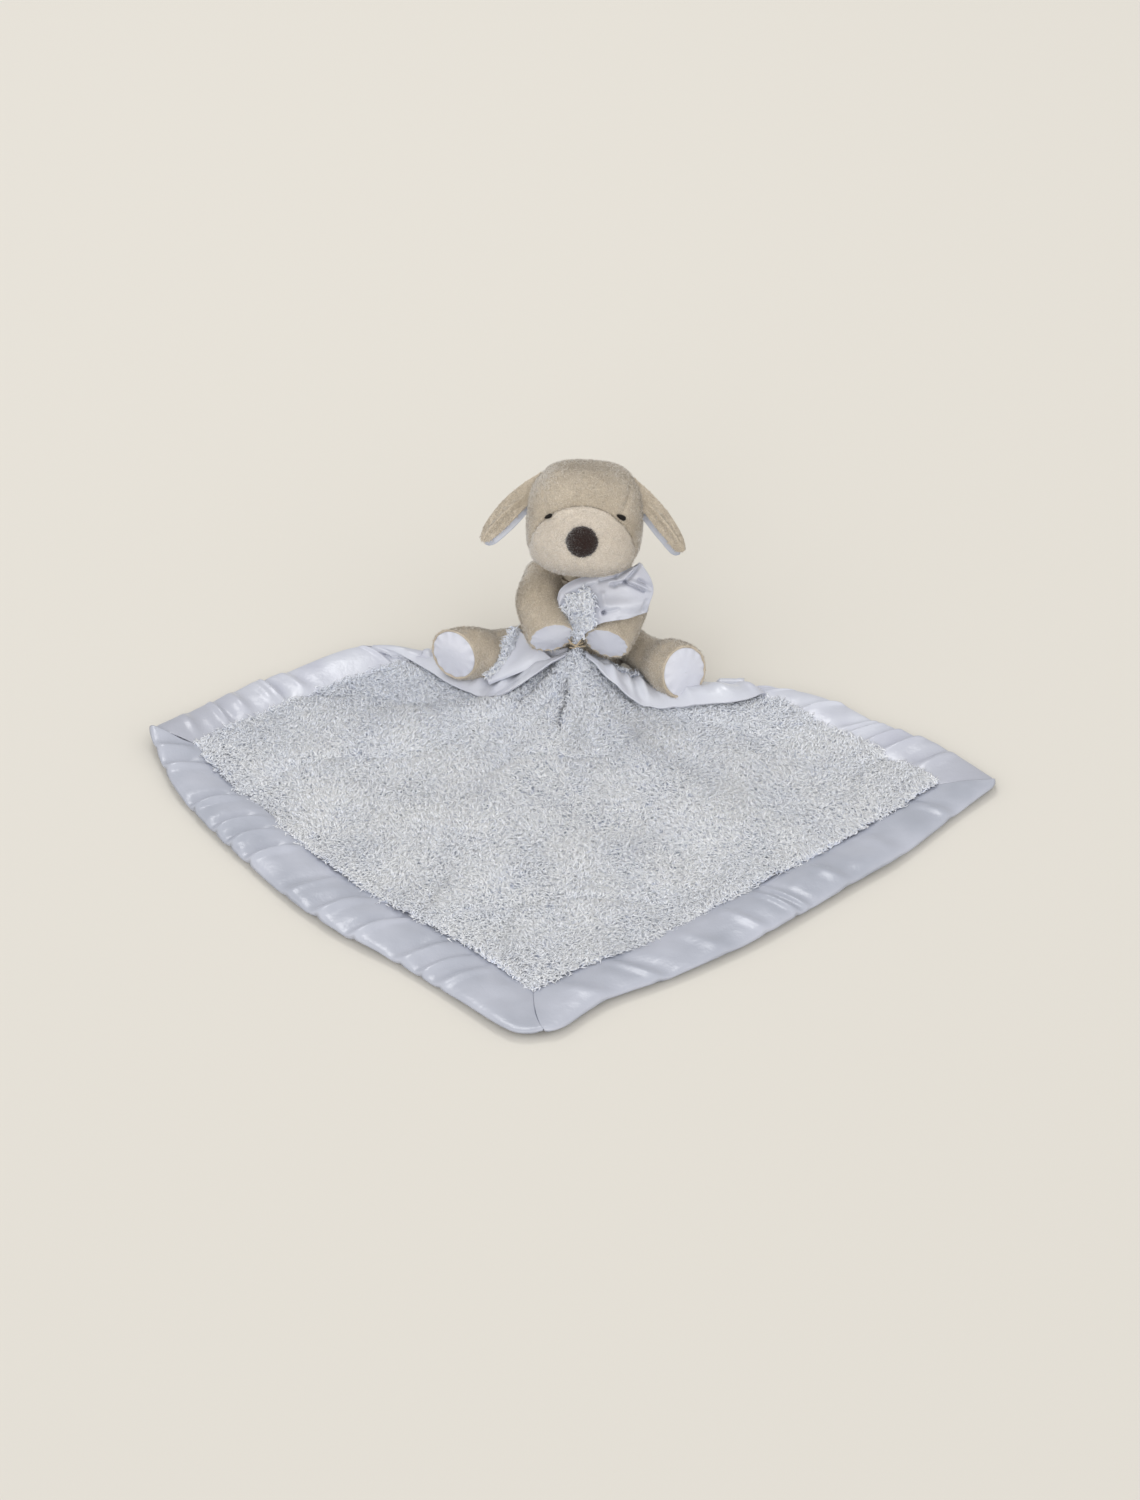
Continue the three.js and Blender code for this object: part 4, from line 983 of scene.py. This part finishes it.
def head_skin(lean, turn, inward, cover):
    """Places on the cover's or the muzzle's cloth, sunk along its seams and around the eyes."""
    way = polar_way(lean, turn)
    seam = np.interp(turn, np.append(turns, 2 * np.pi), np.append(seam_lean, seam_lean[0]))
    smooth_point = head_point(way)
    off = np.linalg.norm(smooth_point, axis=-1) * np.abs(lean - seam)
    sink = 0.9 * np.exp(-(off / 1.2) ** 2) + 0.7 * np.exp(-(off / 4.0) ** 2)
    if cover:
        side = np.abs(smooth_point[..., 0]) - (20.6 + 0.22 * np.maximum(smooth_point[..., 2], 0))
        on_top = smooth(-6, 4, smooth_point[..., 2] + 0.4 * smooth_point[..., 1])
        sink = sink + on_top * (0.6 * np.exp(-(side / 1.0) ** 2) + 0.4 * np.exp(-(side / 3.6) ** 2))
    else:
        sink = sink - 0.7 * smooth(2, 12, off)
    for eye in eye_ways:
        far = np.linalg.norm(smooth_point - head_point(eye), axis=-1)
        sink = sink + 0.9 * np.exp(-(far / 4.5) ** 2)
    sink = sink + chin_hollow(way)
    rough = 0.5 * lumps(smooth_point, 17.0, 51) + 0.22 * lumps(smooth_point, 6.0, 52)
    return head_point(way) + way * (rough - sink - inward)[..., None]


cover_rows, muzzle_rows = 130, 109
panel_depth = 2.2
seam_gap = 0.006


def panel_rings(start, stop, rows, cover):
    """Rings of a head panel from one lean to another: its outer face, and its inner with fewer rows."""
    share = np.linspace(0, 1, rows)[:, None]
    lean = mix(start[None, :], stop[None, :], share)
    turn = np.broadcast_to(turns, lean.shape)
    outer = head_skin(lean, turn, 0.0, cover)
    inner = head_skin(lean[::3], turn[::3], panel_depth, cover)
    rings = np.concatenate([outer[::-1], inner]) if cover else np.concatenate([outer, inner[::-1]])
    return to_world(rings.reshape(-1, 3)).reshape(rings.shape)


def muzzle_painted_light(point):
    """How near a point is to the middle of the muzzle: painted light there, and painted shade on the
    muzzle's sides, which turn from the light.
    """
    return 1 - smooth(11.0, 31.0, np.abs(point[..., 0] - head_centre[0]))


cover_rings = panel_rings(seam_lean + seam_gap, np.full_like(seam_lean, 3.12), cover_rows, True)
head_cover = make_piece("head_velour", *ring_body(cover_rings), "head", "velour_cover", velour)
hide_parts("head_cover", "head_filling")
napped("head_velour_nap", cover_rings[:cover_rows], "head", seed=301)
muzzle_panel = panel_rings(np.full_like(seam_lean, 0.02), seam_lean - seam_gap, muzzle_rows, False)
muzzle = make_piece(
    "muzzle_velour_panel", *ring_body(muzzle_panel), "head", "muzzle_velour", muzzle_velour,
)
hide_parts("muzzle_panel")
napped("muzzle_velour_nap", muzzle_panel[:muzzle_rows], "head", "muzzle_velour", muzzle_nap,
       seed=302, lit_share=muzzle_painted_light)


def ball_rings(centre, axes, radii, rows=24, sides=40, seed=0, rough=0.0):
    """Rings of a ball with three radii, its poles at the front and the back."""
    lean = np.linspace(0.04, math.pi - 0.04, rows)[:, None]
    turn = np.linspace(0, 2 * math.pi, sides, endpoint=False)[None, :]
    way = polar_way(lean, turn)
    if rough:
        way = way * (1 + rough * lumps(way * 10, 4.0, seed))[..., None]
    return centre + (way * np.asarray(radii)) @ np.asarray(axes)


nose_place = head_point(unit([0, -1, -0.11])) + [0, 1.2, 0]
nose_size = (9.4, 6.2, 9.1)
nose_rings = ball_rings(
    to_world(nose_place), head_turn.T, nose_size, rows=40, sides=60, seed=61, rough=0.02,
)
nose = make_piece("nose_velour", *ring_body(nose_rings), "head", "nose_velour", nose_velour)
napped("nose_velour_nap", nose_rings, "head", "nose_velour", nose_nap,
       length=1.3, per_mm2=3.0, seed=303)
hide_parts("nose")


def stitched_dot(name, place, way, size, tilt, body, material, node):
    """A satin-stitched dot: threads laid side by side over a low oval, modelled from a ball."""
    bpy.ops.object.select_all(action="DESELECT")
    bpy.ops.mesh.primitive_uv_sphere_add(segments=28, ring_count=16, radius=1, location=(0, 0, 0))
    dot = bpy.context.object
    dot.name = name
    bpy.ops.object.mode_set(mode="EDIT")
    bpy.ops.mesh.select_all(action="SELECT")
    bpy.ops.transform.resize(value=[k * MM for k in size])
    bpy.ops.object.mode_set(mode="OBJECT")
    for vertex in dot.data.vertices:
        vertex.co.y *= 1 + 0.12 * math.cos(vertex.co.x / MM * 14)
        vertex.co.z *= 1 + 0.35 * vertex.co.x / (size[0] * MM)
    bpy.ops.object.shade_smooth()
    turn = Matrix.Rotation(tilt, 4, "Y")
    aim = Vector(way).to_track_quat("-Y", "Z").to_matrix().to_4x4()
    dot.data.transform(Matrix.Translation(Vector(place) * MM) @ aim @ turn)
    dot.data.materials.append(material)
    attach(dot, body)
    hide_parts(node)


for side, name, eye_size in ((-1, "left", (2.9, 1.3, 1.2)), (1, "right", (3.3, 1.4, 1.5))):
    way = eye_ways[(side + 1) // 2]
    stitched_dot(
        f"{name}_eye_thread", to_world(head_point(way) - way * 0.6), head_turn @ way, eye_size,
        math.radians(42 * side), "head", black_thread, f"{name}_eye",
    )
mouth_way = unit([0, -1, -0.46])
mouth_size = (0.6, 0.8, 2.0)
stitched_dot(
    "mouth_thread", to_world(head_point(mouth_way) - mouth_way * 1.1), head_turn @ mouth_way, mouth_size,
    0.0, "head", beige_thread, "mouth_stitch",
)

# Ears

ear_root_top, ear_root_low = unit([0.9, 0.12, 0.76]), unit([1, -0.1, 0.2])
ear_way = unit([0.64, -0.12, -0.7])
leaf_thick, lining_thick = 2.6, 1.3


def ear_leaf(side, offset, slide=0.0):
    """Leaf-shaped layer of an ear: root beside the head, a lengthwise fold, and a round tip.

    Returns its grid of points, the middle of its root and the way that its outer face looks.
    """
    top, low = head_point(ear_root_top, 0.6), head_point(ear_root_low, 0.6)
    root = (top + low) / 2
    along = unit(low - top)
    face = unit(np.cross(along, ear_way))
    face = face if face[1] < 0 else -face
    across = unit(np.cross(ear_way, face))
    across = across if across @ along > 0 else -across
    s, t = np.meshgrid(np.linspace(-0.05, 1, 64), np.linspace(0, 1, 34), indexing="ij")
    length, upper_bow, lower_bow = (43.0, 4.4, 1.2) if side < 0 else (41.5, 3.4, 0.4)
    tip = root + ear_way * length
    bow = np.sin(np.pi * np.clip(s, 0, 1))[..., None]
    upper = mix(top, tip - across * 4.6, s[..., None]) - across * upper_bow * bow
    lower = mix(low, tip + across * 3.6, s[..., None]) + across * lower_bow * bow
    rounding = np.sqrt(np.clip(1 - np.maximum(0, (s - 0.82) / 0.18) ** 2, 0, 1))
    inward = 0.5 + (t - 0.5) * mix(0.12, 1, rounding)
    fold = 2.4 * np.exp(-((t - 0.58) / 0.12) ** 2) * smooth(0.05, 0.4, s) * (1 - smooth(0.75, 1, s))
    bend = offset + fold - 7.0 * (t - 0.55) ** 2 * smooth(0, 0.5, s) + 1.2 * np.sin(np.pi * s)
    point = mix(upper, lower, inward[..., None]) + face * bend[..., None] + across * slide
    mirror = [side, 1, 1]
    placed = to_world((point * mirror).reshape(-1, 3)).reshape(point.shape)
    return placed, to_world(root * mirror), face * mirror


for side, name in ((-1, "left"), (1, "right")):
    leaf, root, face = ear_leaf(side, 1.3)
    face = head_turn @ face
    leaf = outward(leaf + face * (0.3 * lumps(leaf, 7.0, 71))[..., None], face)
    ear = make_piece(
        f"{name}_ear_velour_leaf", *sheet_body(leaf, leaf_thick, face), None, "velour_cover", velour,
    )
    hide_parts(f"{name}_ear_velour")
    points, faces, uv = strands_on(
        [leaf], per_mm2=1.5, length=1.4, width=nap_width, lean=nap_lean, seed=310,
        steps=nap_steps, comb=nap_comb,
    )
    nap = make_piece(f"{name}_ear_nap", points, faces, None, "velour_cover", velour_nap, uv)
    lining, _, _ = ear_leaf(side, -1.6, 2.3)
    satin_leaf = make_piece(
        f"{name}_ear_satin", *sheet_body(lining, lining_thick, face), None, "satin_trim", satin,
    )
    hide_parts(f"{name}_ear_lining")
    for piece in (ear, nap, satin_leaf):
        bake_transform(piece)

# Limbs

# Rings of the rim that is turned in behind a pad: place along the limb from its end, and inset
turned_rim = [(0.35, 0.5), (0.1, 1.3), (-0.9, 1.7), (-2.2, 1.9), (-2.6, 5.0)]
pad_crown = 1.8
sole_radius, paw_radius = 15.0, 13.2


def ring_ways(axis, turn):
    """Ways outward around one axis or many, at each turn."""
    across = unit(np.cross([0, 0, 1], axis))
    over = np.cross(axis, across)
    return across[..., None, :] * np.cos(turn)[:, None] + over[..., None, :] * np.sin(turn)[:, None]


def limb_rings(path, radius_at, end_way, rows=90, sides=72, caps=16, seed=0, wrinkle=0.6, rim=False):
    """Rings of a stuffed limb: a round inner end, a swelling tube, and a turned-in rim or a round end."""
    start, start_way, first = path.at(0.0), path.way(0.0), float(radius_at(0.0))
    centres, ways, radii = [], [], []
    for k in range(caps, 0, -1):
        lean = math.pi / 2 * k / (caps + 0.3)
        centres.append(start - start_way * first * math.sin(lean))
        ways.append(start_way)
        radii.append(first * math.cos(lean))
    for share in np.linspace(0, 1, rows):
        centres.append(path.at(share))
        ways.append(unit(mix(path.way(share), end_way, smooth(0.35, 1, share))))
        radii.append(float(radius_at(share)))
    body_rows = len(centres)
    if rim:
        for depth, inset in turned_rim:
            centres.append(path.at(1.0) + end_way * depth)
            ways.append(end_way)
            radii.append(radii[body_rows - 1] - inset)
    else:
        for k in range(1, caps + 1):
            lean = math.pi / 2 * k / (caps + 0.3)
            centres.append(path.at(1.0) + end_way * radii[body_rows - 1] * math.sin(lean))
            ways.append(end_way)
            radii.append(radii[body_rows - 1] * math.cos(lean))
    centres, ways, radii = np.array(centres), np.array(ways), np.array(radii)
    turn = np.linspace(0, 2 * math.pi, sides, endpoint=False)
    out = ring_ways(ways, turn)
    rings = centres[:, None, :] + out * radii[:, None, None]
    rough = wrinkle * lumps(rings, 15.0, seed) + 0.25 * lumps(rings, 5.5, seed + 1)
    run = np.linspace(0, 1, len(radii))[:, None]
    folds = lumps(rings * [0.6, 1.0, 1.6], 12.0, seed + 2)
    rough = rough - 0.9 * np.exp(-(folds / 0.1) ** 2) * (1 - smooth(0.15, 0.6, run)) * wrinkle
    if rim:
        rough[body_rows:] = 0
        rough[body_rows - 1] *= 0.3
        rough[body_rows - 4:body_rows] += 0.22 * np.cos(turn * 26)[None, :]
    return rings + out * rough[..., None]


def pad_rings(centre, way, radius, crown, seed):
    """Rings of a round puckered pad, from its middle over its rim to its back."""
    turn = np.linspace(0, 2 * math.pi, 72, endpoint=False)
    out = ring_ways(way, turn)
    face_shares = np.linspace(0.01, 1, 26)
    rings = []
    for share in np.concatenate([face_shares, [1.0, 0.97, 0.5, 0.03]]):
        rings.append(centre + out * radius * share + way * crown * (1 - share**2))
    rings = np.array(rings)
    rings[-4] -= way * 0.8
    rings[-3:] = rings[-3:] - way * (1.4 + crown)
    share = np.concatenate([face_shares, [1, 0, 0, 0]])[:, None]
    pucker = 0.45 * np.cos(turn * 13 + 2 * lumps(out * 10, 6.0, seed))[None, :] * share**5
    pucker = pucker + 0.7 * lumps(rings, 10.0, seed) * (1 - share**4) * (share > 0)
    return rings + way * pucker[..., None]


def stuffed_limb(name, path, radius_at, end_way, pad, pad_radius, body, seed):
    """An arm or leg: its cover over the filling, its nap, and the satin pad at its end."""
    rings = limb_rings(path, radius_at, end_way, seed=seed, rim=True)
    cover = make_piece(f"{name}_velour", *ring_body(rings), body, "velour_cover", velour)
    napped(f"{name}_velour_nap", rings[:-len(turned_rim)], body, seed=seed + 300)
    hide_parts(f"{name}_cover", f"{name}_filling")
    rings = pad_rings(path.at(1.0), end_way, pad_radius - 0.2, pad_crown, seed + 5)
    sole = make_piece(f"{pad}_satin", *ring_body(rings), body, "satin_trim", pad_satin_painted_gloss)
    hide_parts(pad)


leg_radius = table([(0, 12.6), (0.17, 11.0), (0.45, 11.8), (0.82, 16.8), (1, 16.2)])
arm_radius = table([(0, 12.6), (0.35, 13.6), (0.6, 13.4), (0.85, 13.8), (1, 13.6)])
shoulder_high, paw_front = 68.0, -37.0
# Each side's sole: where it is and which way it looks
for side, name, sole, way, seed in (
    (-1, "left", (-76, -20, 26.5), (-0.53, -0.84, 0.13), 81),
    (1, "right", (62.5, -37, 25.6), (0.57, -0.75, 0.33), 86),
):
    hip, sole = np.array([side * 27.0, 3.0, 20.0]), np.array(sole, float)
    path = Path([hip, (hip + sole) / 2 - [0, 0, 2], sole])
    stuffed_limb(f"{name}_leg", path, leg_radius, unit(way), f"{name}_sole", sole_radius,
                 f"{name}_leg", seed)
    shoulder = np.array([side * 21.0, 0, shoulder_high])
    paw = np.array([side * 16.5 - 0.5, paw_front, 51.0 if side < 0 else 46.8])
    elbow = np.array([side * (24.0 if side < 0 else 27.0), paw_front * 0.45, mix(52.0, shoulder_high, 0.62)])
    paw_way = unit([0.2, -0.92, -0.34] if side < 0 else [-0.28, -0.9, -0.32])
    path = Path([shoulder, elbow, paw])
    stuffed_limb(f"{name}_arm", path, arm_radius, paw_way, f"{name}_paw_pad", paw_radius,
                 "root", seed + 20)

# Torso, neck and tail

torso_wide, torso_deep, torso_tall = 27.0, 22.0, 80.0
swell_at = table([(0, 0.78), (0.12, 0.98), (0.3, 1), (0.55, 0.9), (0.76, 0.74), (0.9, 0.56), (1, 0.3)])
turn = np.linspace(0, 2 * math.pi, 90, endpoint=False)
torso_rings = []
for share, inset in [(0.0, 9.0), (0.0, 3.0), *((share, 0.0) for share in np.linspace(0, 0.91, 70))]:
    swell = float(swell_at(share))
    torso_rings.append(np.stack([
        (torso_wide * swell - inset) * np.cos(turn), (torso_deep * swell - inset) * np.sin(turn),
        np.full_like(turn, torso_tall * share),
    ], axis=-1))
torso_rings = np.array(torso_rings)
out = unit(torso_rings * [1, 1, 0])
rough = 0.5 * lumps(torso_rings, 18.0, 91) + 0.2 * lumps(torso_rings, 6.0, 92) - 0.4
torso_rings = torso_rings + out * (rough * smooth(0, 6, torso_rings[..., 2]))[..., None]
torso = make_piece("torso_velour", *ring_body(torso_rings), "root", "velour_cover", velour)
napped("torso_velour_nap", torso_rings[2:], "root", seed=391)
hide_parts("torso_cover", "torso_filling")
neck_rings = ball_rings(neck_centre, np.eye(3), (12.9, 12.9, 12.9))
neck = make_piece("neck_velour", *ring_body(neck_rings), "neck", "velour_cover", velour)
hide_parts("neck_stuffing")

tail_root = np.array([0, torso_deep * 0.97, 15.0])
tail_path = Path([tail_root, tail_root + [2, 12, -3], tail_root + [6, 24, -3]])
tail_radius = table([(0, 6.0), (0.3, 5.0), (0.65, 6.0), (1, 3.0)])
tail_rings = limb_rings(
    tail_path, tail_radius, unit([0.2, 1, 0]), rows=40, sides=40, caps=10, seed=95, wrinkle=0.3,
)
tail = make_piece("tail_velour", *ring_body(tail_rings), "tail", "velour_cover", velour)
napped("tail_velour_nap", tail_rings, "tail", seed=395)
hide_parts("tail_cover")

# Held corner of the blanket

corner_base = np.array([pinch[0], pinch[1], pinch[2] + panel_thick + gap])
corner_reach = 45.0


def corner_path(shares, first=None, last=None):
    """Curve through shares of the corner's reach from its base, with a place before or after them."""
    points = [corner_base + corner_reach * np.array(row, float) for row in shares]
    return Path([p for p in [first, *points, last] if p is not None])


# Places along the corner's four edges, as shares of its reach
left_shares = [
    (-0.033, 0.022, 0.089), (-0.111, 0.067, 0.267), (-0.211, 0.156, 0.467), (-0.262, 0.222, 0.6),
]
top_shares = [
    (-0.22, 0.27, 0.72), (-0.08, 0.3, 0.83), (0.16, 0.311, 0.92),
    (0.444, 0.322, 0.975), (0.711, 0.278, 1.06), (0.844, 0.222, 1.156),
]
right_shares = [
    (0.978, 0.133, 0.978), (1.011, 0.111, 0.8), (0.956, 0.056, 0.622), (0.933, 0.044, 0.511),
]
bottom_shares = [
    (0.089, -0.078, 0.222), (0.311, -0.122, 0.444), (0.489, -0.133, 0.5),
    (0.667, -0.1, 0.511), (0.822, 0, 0.5),
]
corner_side = corner_base + corner_reach * np.array(left_shares[-1])
corner_tip = corner_base + corner_reach * np.array(top_shares[-1])
corner_low = corner_base + corner_reach * np.array(right_shares[-1])
corner_left = corner_path(left_shares, corner_base)
corner_top = corner_path(top_shares, corner_side)
corner_right = corner_path(right_shares[-2::-1], corner_low, corner_tip)
corner_bottom = corner_path(bottom_shares, corner_base, corner_low)
corner_face = unit([0, -0.86, 0.5])


def corner_at(u, v):
    """Place on the held corner's mid face: u runs away from its left edge, v from its bottom one."""
    return filled(u, v, corner_bottom, corner_top, corner_left, corner_right)


seam_u, seam_v = 0.39, 0.78
s, t = np.meshgrid(np.linspace(0, 1, 50), np.linspace(0, 1, 60), indexing="ij")
corner_pile_top = corner_at(s * seam_u, t * seam_v) + corner_face * 3.6
corner_backing = make_piece(
    "corner_backing", *sheet_body(corner_pile_top, backing_thick, corner_face),
    "root", "plush_pile", ground,
)
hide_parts("held_corner_plush")
corner_pile = pile_piece("corner_pile", *strands_on(
    [outward(corner_pile_top, corner_face)], per_mm2=1.2, length=4.0, width=1.15, lean=0.6, seed=8,
))

s, t = np.meshgrid(np.linspace(0, 1, 200), np.linspace(0, 1, 60), indexing="ij")
on_top, on_right = np.minimum(1, 2 * s), np.maximum(0, 2 * s - 1)
u = mix(on_top * seam_u, on_top, t)
v = mix(seam_v * (1 - on_right), 1 - on_right, t)
dome = np.sin(np.pi * np.clip(t, 0.04, 0.96))
flat = corner_at(u, v)
leaned = np.stack([
    flat[..., 0], toward_camera[2] * flat[..., 1] - toward_camera[1] * flat[..., 2],
], axis=-1)


def line_share(start, end, wide):
    """How near each point of the held corner is to a line, as the camera sees them: 1 on it, 0 far off."""
    start, end = np.array(start, float), np.array(end, float)
    run = end - start
    share = np.clip((leaned - start) @ run / (run @ run), 0, 1)
    return np.exp(-(np.linalg.norm(leaned - start - share[..., None] * run, axis=-1) / wide) ** 2)


# Folds and dents of the held satin: the ends of each as the camera sees them, its width and its height
corner_folds = [
    ((26.7, 51.6), (35.5, 61.9), 1.0, -1.8), ((18.5, 50.2), (26.7, 51.4), 1.2, -1.9),
    ((11.7, 52.5), (21.2, 54.8), 1.0, -1.3), ((21.2, 54.8), (31.7, 61.1), 1.0, -1.5),
    ((13.4, 44.5), (14.8, 38.0), 1.5, 1.1),
    ((26.7, 51.6), (37.6, 46.4), 1.0, -1.9), ((34.6, 52.5), (42.4, 47.5), 1.1, -1.3),
    ((29.0, 52.5), (41.5, 47.0), 1.4, 1.5), ((12.5, 37.5), (40.0, 38.5), 4.0, 2.2),
    ((39.4, 40.5), (37.0, 34.5), 1.3, -1.6), ((9.0, 38.5), (9.4, 37.0), 3.0, -1.6),
    ((13.8, 33.4), (14.0, 33.6), 1.1, -3.8), ((20.6, 49.2), (20.8, 49.4), 1.0, -2.0),
    ((14.0, 33.5), (22.0, 35.5), 1.2, -1.0), ((24.0, 30.0), (31.0, 30.0), 1.6, 1.0),
]
puff = 3.0 + 2.0 * dome
for start, end, wide, high in corner_folds:
    puff = puff + 1.35 * high * line_share(start, end, wide) * np.clip(2.2 * dome, 0, 1)


# The axis of the neck's hinge in the CAD model, and the degrees by which the head turns right on it
neck_axis = Vector((0.05361, 0.33938, 0.93912))
chin_turns = (0, 3, 6, 8)


def pressed_by_chin(points):
    """Points of the held corner, put out of the place that the chin takes as the head turns right."""
    for degrees in chin_turns:
        swing = np.array(Matrix.Rotation(math.radians(degrees), 3, neck_axis))
        local = ((points - neck_centre) @ swing + neck_centre - head_centre) @ head_turn
        way = unit(local)
        skin = np.linalg.norm(head_point(way), axis=-1) - chin_hollow(way) + 1.3
        deep = np.maximum(0, skin - np.linalg.norm(local, axis=-1))
        points = points + (way * deep[..., None]) @ head_turn.T @ swing.T
    return points


corner_thick = 2.8
points, faces = sheet_body(flat + corner_face * puff[..., None], corner_thick, corner_face)
corner_satin = make_piece("corner_satin", pressed_by_chin(points), faces, "root", "satin_trim", held_satin_painted_light)
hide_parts("held_corner_satin")


def thread_run(points, radius):
    """One pulled stitch: a round curve through its points, made a mesh."""
    curve = bpy.data.curves.new("tack_run", "CURVE")
    curve.dimensions = "3D"
    curve.bevel_depth = radius * MM
    curve.bevel_resolution = 3
    curve.use_fill_caps = True
    line = curve.splines.new("NURBS")
    line.points.add(len(points) - 1)
    for knot, point in zip(line.points, points):
        knot.co = (*[k * MM for k in point], 1)
    line.use_endpoint_u = True
    line.order_u = 3
    run = bpy.data.objects.new("tack_run", curve)
    bpy.context.scene.collection.objects.link(run)
    return run


bpy.ops.object.select_all(action="DESELECT")
runs = [
    thread_run([(-7.0, -38.5, 50.5), (-4.5, -42.4, 49.4), (-1.0, -42.8, 47.8), (3.0, -39.5, 46.5)],
               radius=0.45),
    thread_run([(-6.0, -39.5, 45.5), (-3.6, -42.8, 46.8), (-1.8, -42.8, 49.2), (0.5, -40.5, 51.5)],
               radius=0.45),
    thread_run([(-6.6, -39.0, 48.4), (-3.0, -43.0, 48.2), (1.6, -40.0, 49.0)], radius=0.35),
]
for run in runs:
    run.select_set(True)
bpy.context.view_layer.objects.active = runs[0]
bpy.ops.object.convert(target="MESH")
bpy.ops.object.join()
tack = bpy.context.object
tack.name = "tack_thread"
bpy.ops.object.shade_smooth()
tack.data.materials.append(beige_thread)
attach(tack, "root")
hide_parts("tack_stitch")

# Floor, light and camera, in metres

floor_material, _, floor_surface = new_material("pale_studio_paper", Roughness=0.9)
floor_surface.inputs["Base Color"].default_value = linear("d8d5ce")
floor_surface.inputs["Specular IOR Level"].default_value = 0.0
bpy.ops.object.select_all(action="DESELECT")
bpy.ops.mesh.primitive_plane_add(size=60, location=(0, 0, 0))
floor = bpy.context.object
floor.name = "floor"
floor.data.materials.append(floor_material)

world = bpy.data.worlds.new("soft_studio")
bpy.context.scene.world = world
world.use_nodes = True
sky = world.node_tree
towards = add_node(sky, "ShaderNodeTexCoord")
split_way = add_node(sky, "ShaderNodeSeparateXYZ", {"Vector": towards.outputs["Generated"]})
brightness = add_node(sky, "ShaderNodeMapRange", {
    "Value": split_way.outputs["Y"], "From Min": -0.9, "From Max": 0.6, "To Min": 1.62, "To Max": 0.62,
})
sky.nodes["Background"].inputs["Color"].default_value = linear("f6f4f1")
sky.links.new(brightness.outputs["Result"], sky.nodes["Background"].inputs["Strength"])


def soft_lamp(name, place, aim, size, watts):
    """A round softbox that looks at a place."""
    lamp = bpy.data.lights.new(name, "AREA")
    lamp.shape = "DISK"
    lamp.size = size
    lamp.energy = watts
    holder = bpy.data.objects.new(name, lamp)
    bpy.context.scene.collection.objects.link(holder)
    holder.location = place
    holder.rotation_euler = (Vector(aim) - Vector(place)).to_track_quat("-Z", "Y").to_euler()


soft_lamp("overhead_softbox", (-0.4, 1.0, 2.6), (0, -0.1, 0), size=1.0, watts=14)
soft_lamp("front_softbox", (-0.9, -3.5, 1.9), (0, -0.1, 0.05), size=1.6, watts=14)

camera_data = bpy.data.cameras.new("camera")
camera = bpy.data.objects.new("camera", camera_data)
bpy.context.scene.collection.objects.link(camera)
elevation = math.radians(36.7)
camera_distance = 2.2
target = Vector((-0.006, -0.081, 0.0))
camera.location = target + camera_distance * Vector((0, -math.cos(elevation), math.sin(elevation)))
camera.rotation_euler = (math.pi / 2 - elevation, 0, 0)
camera_data.sensor_fit = "VERTICAL"
camera_data.sensor_height = 36.0
camera_data.lens = 88.75
camera_data.clip_start = 0.05
bpy.context.scene.camera = camera
bpy.context.scene.view_settings.view_transform = "Standard"
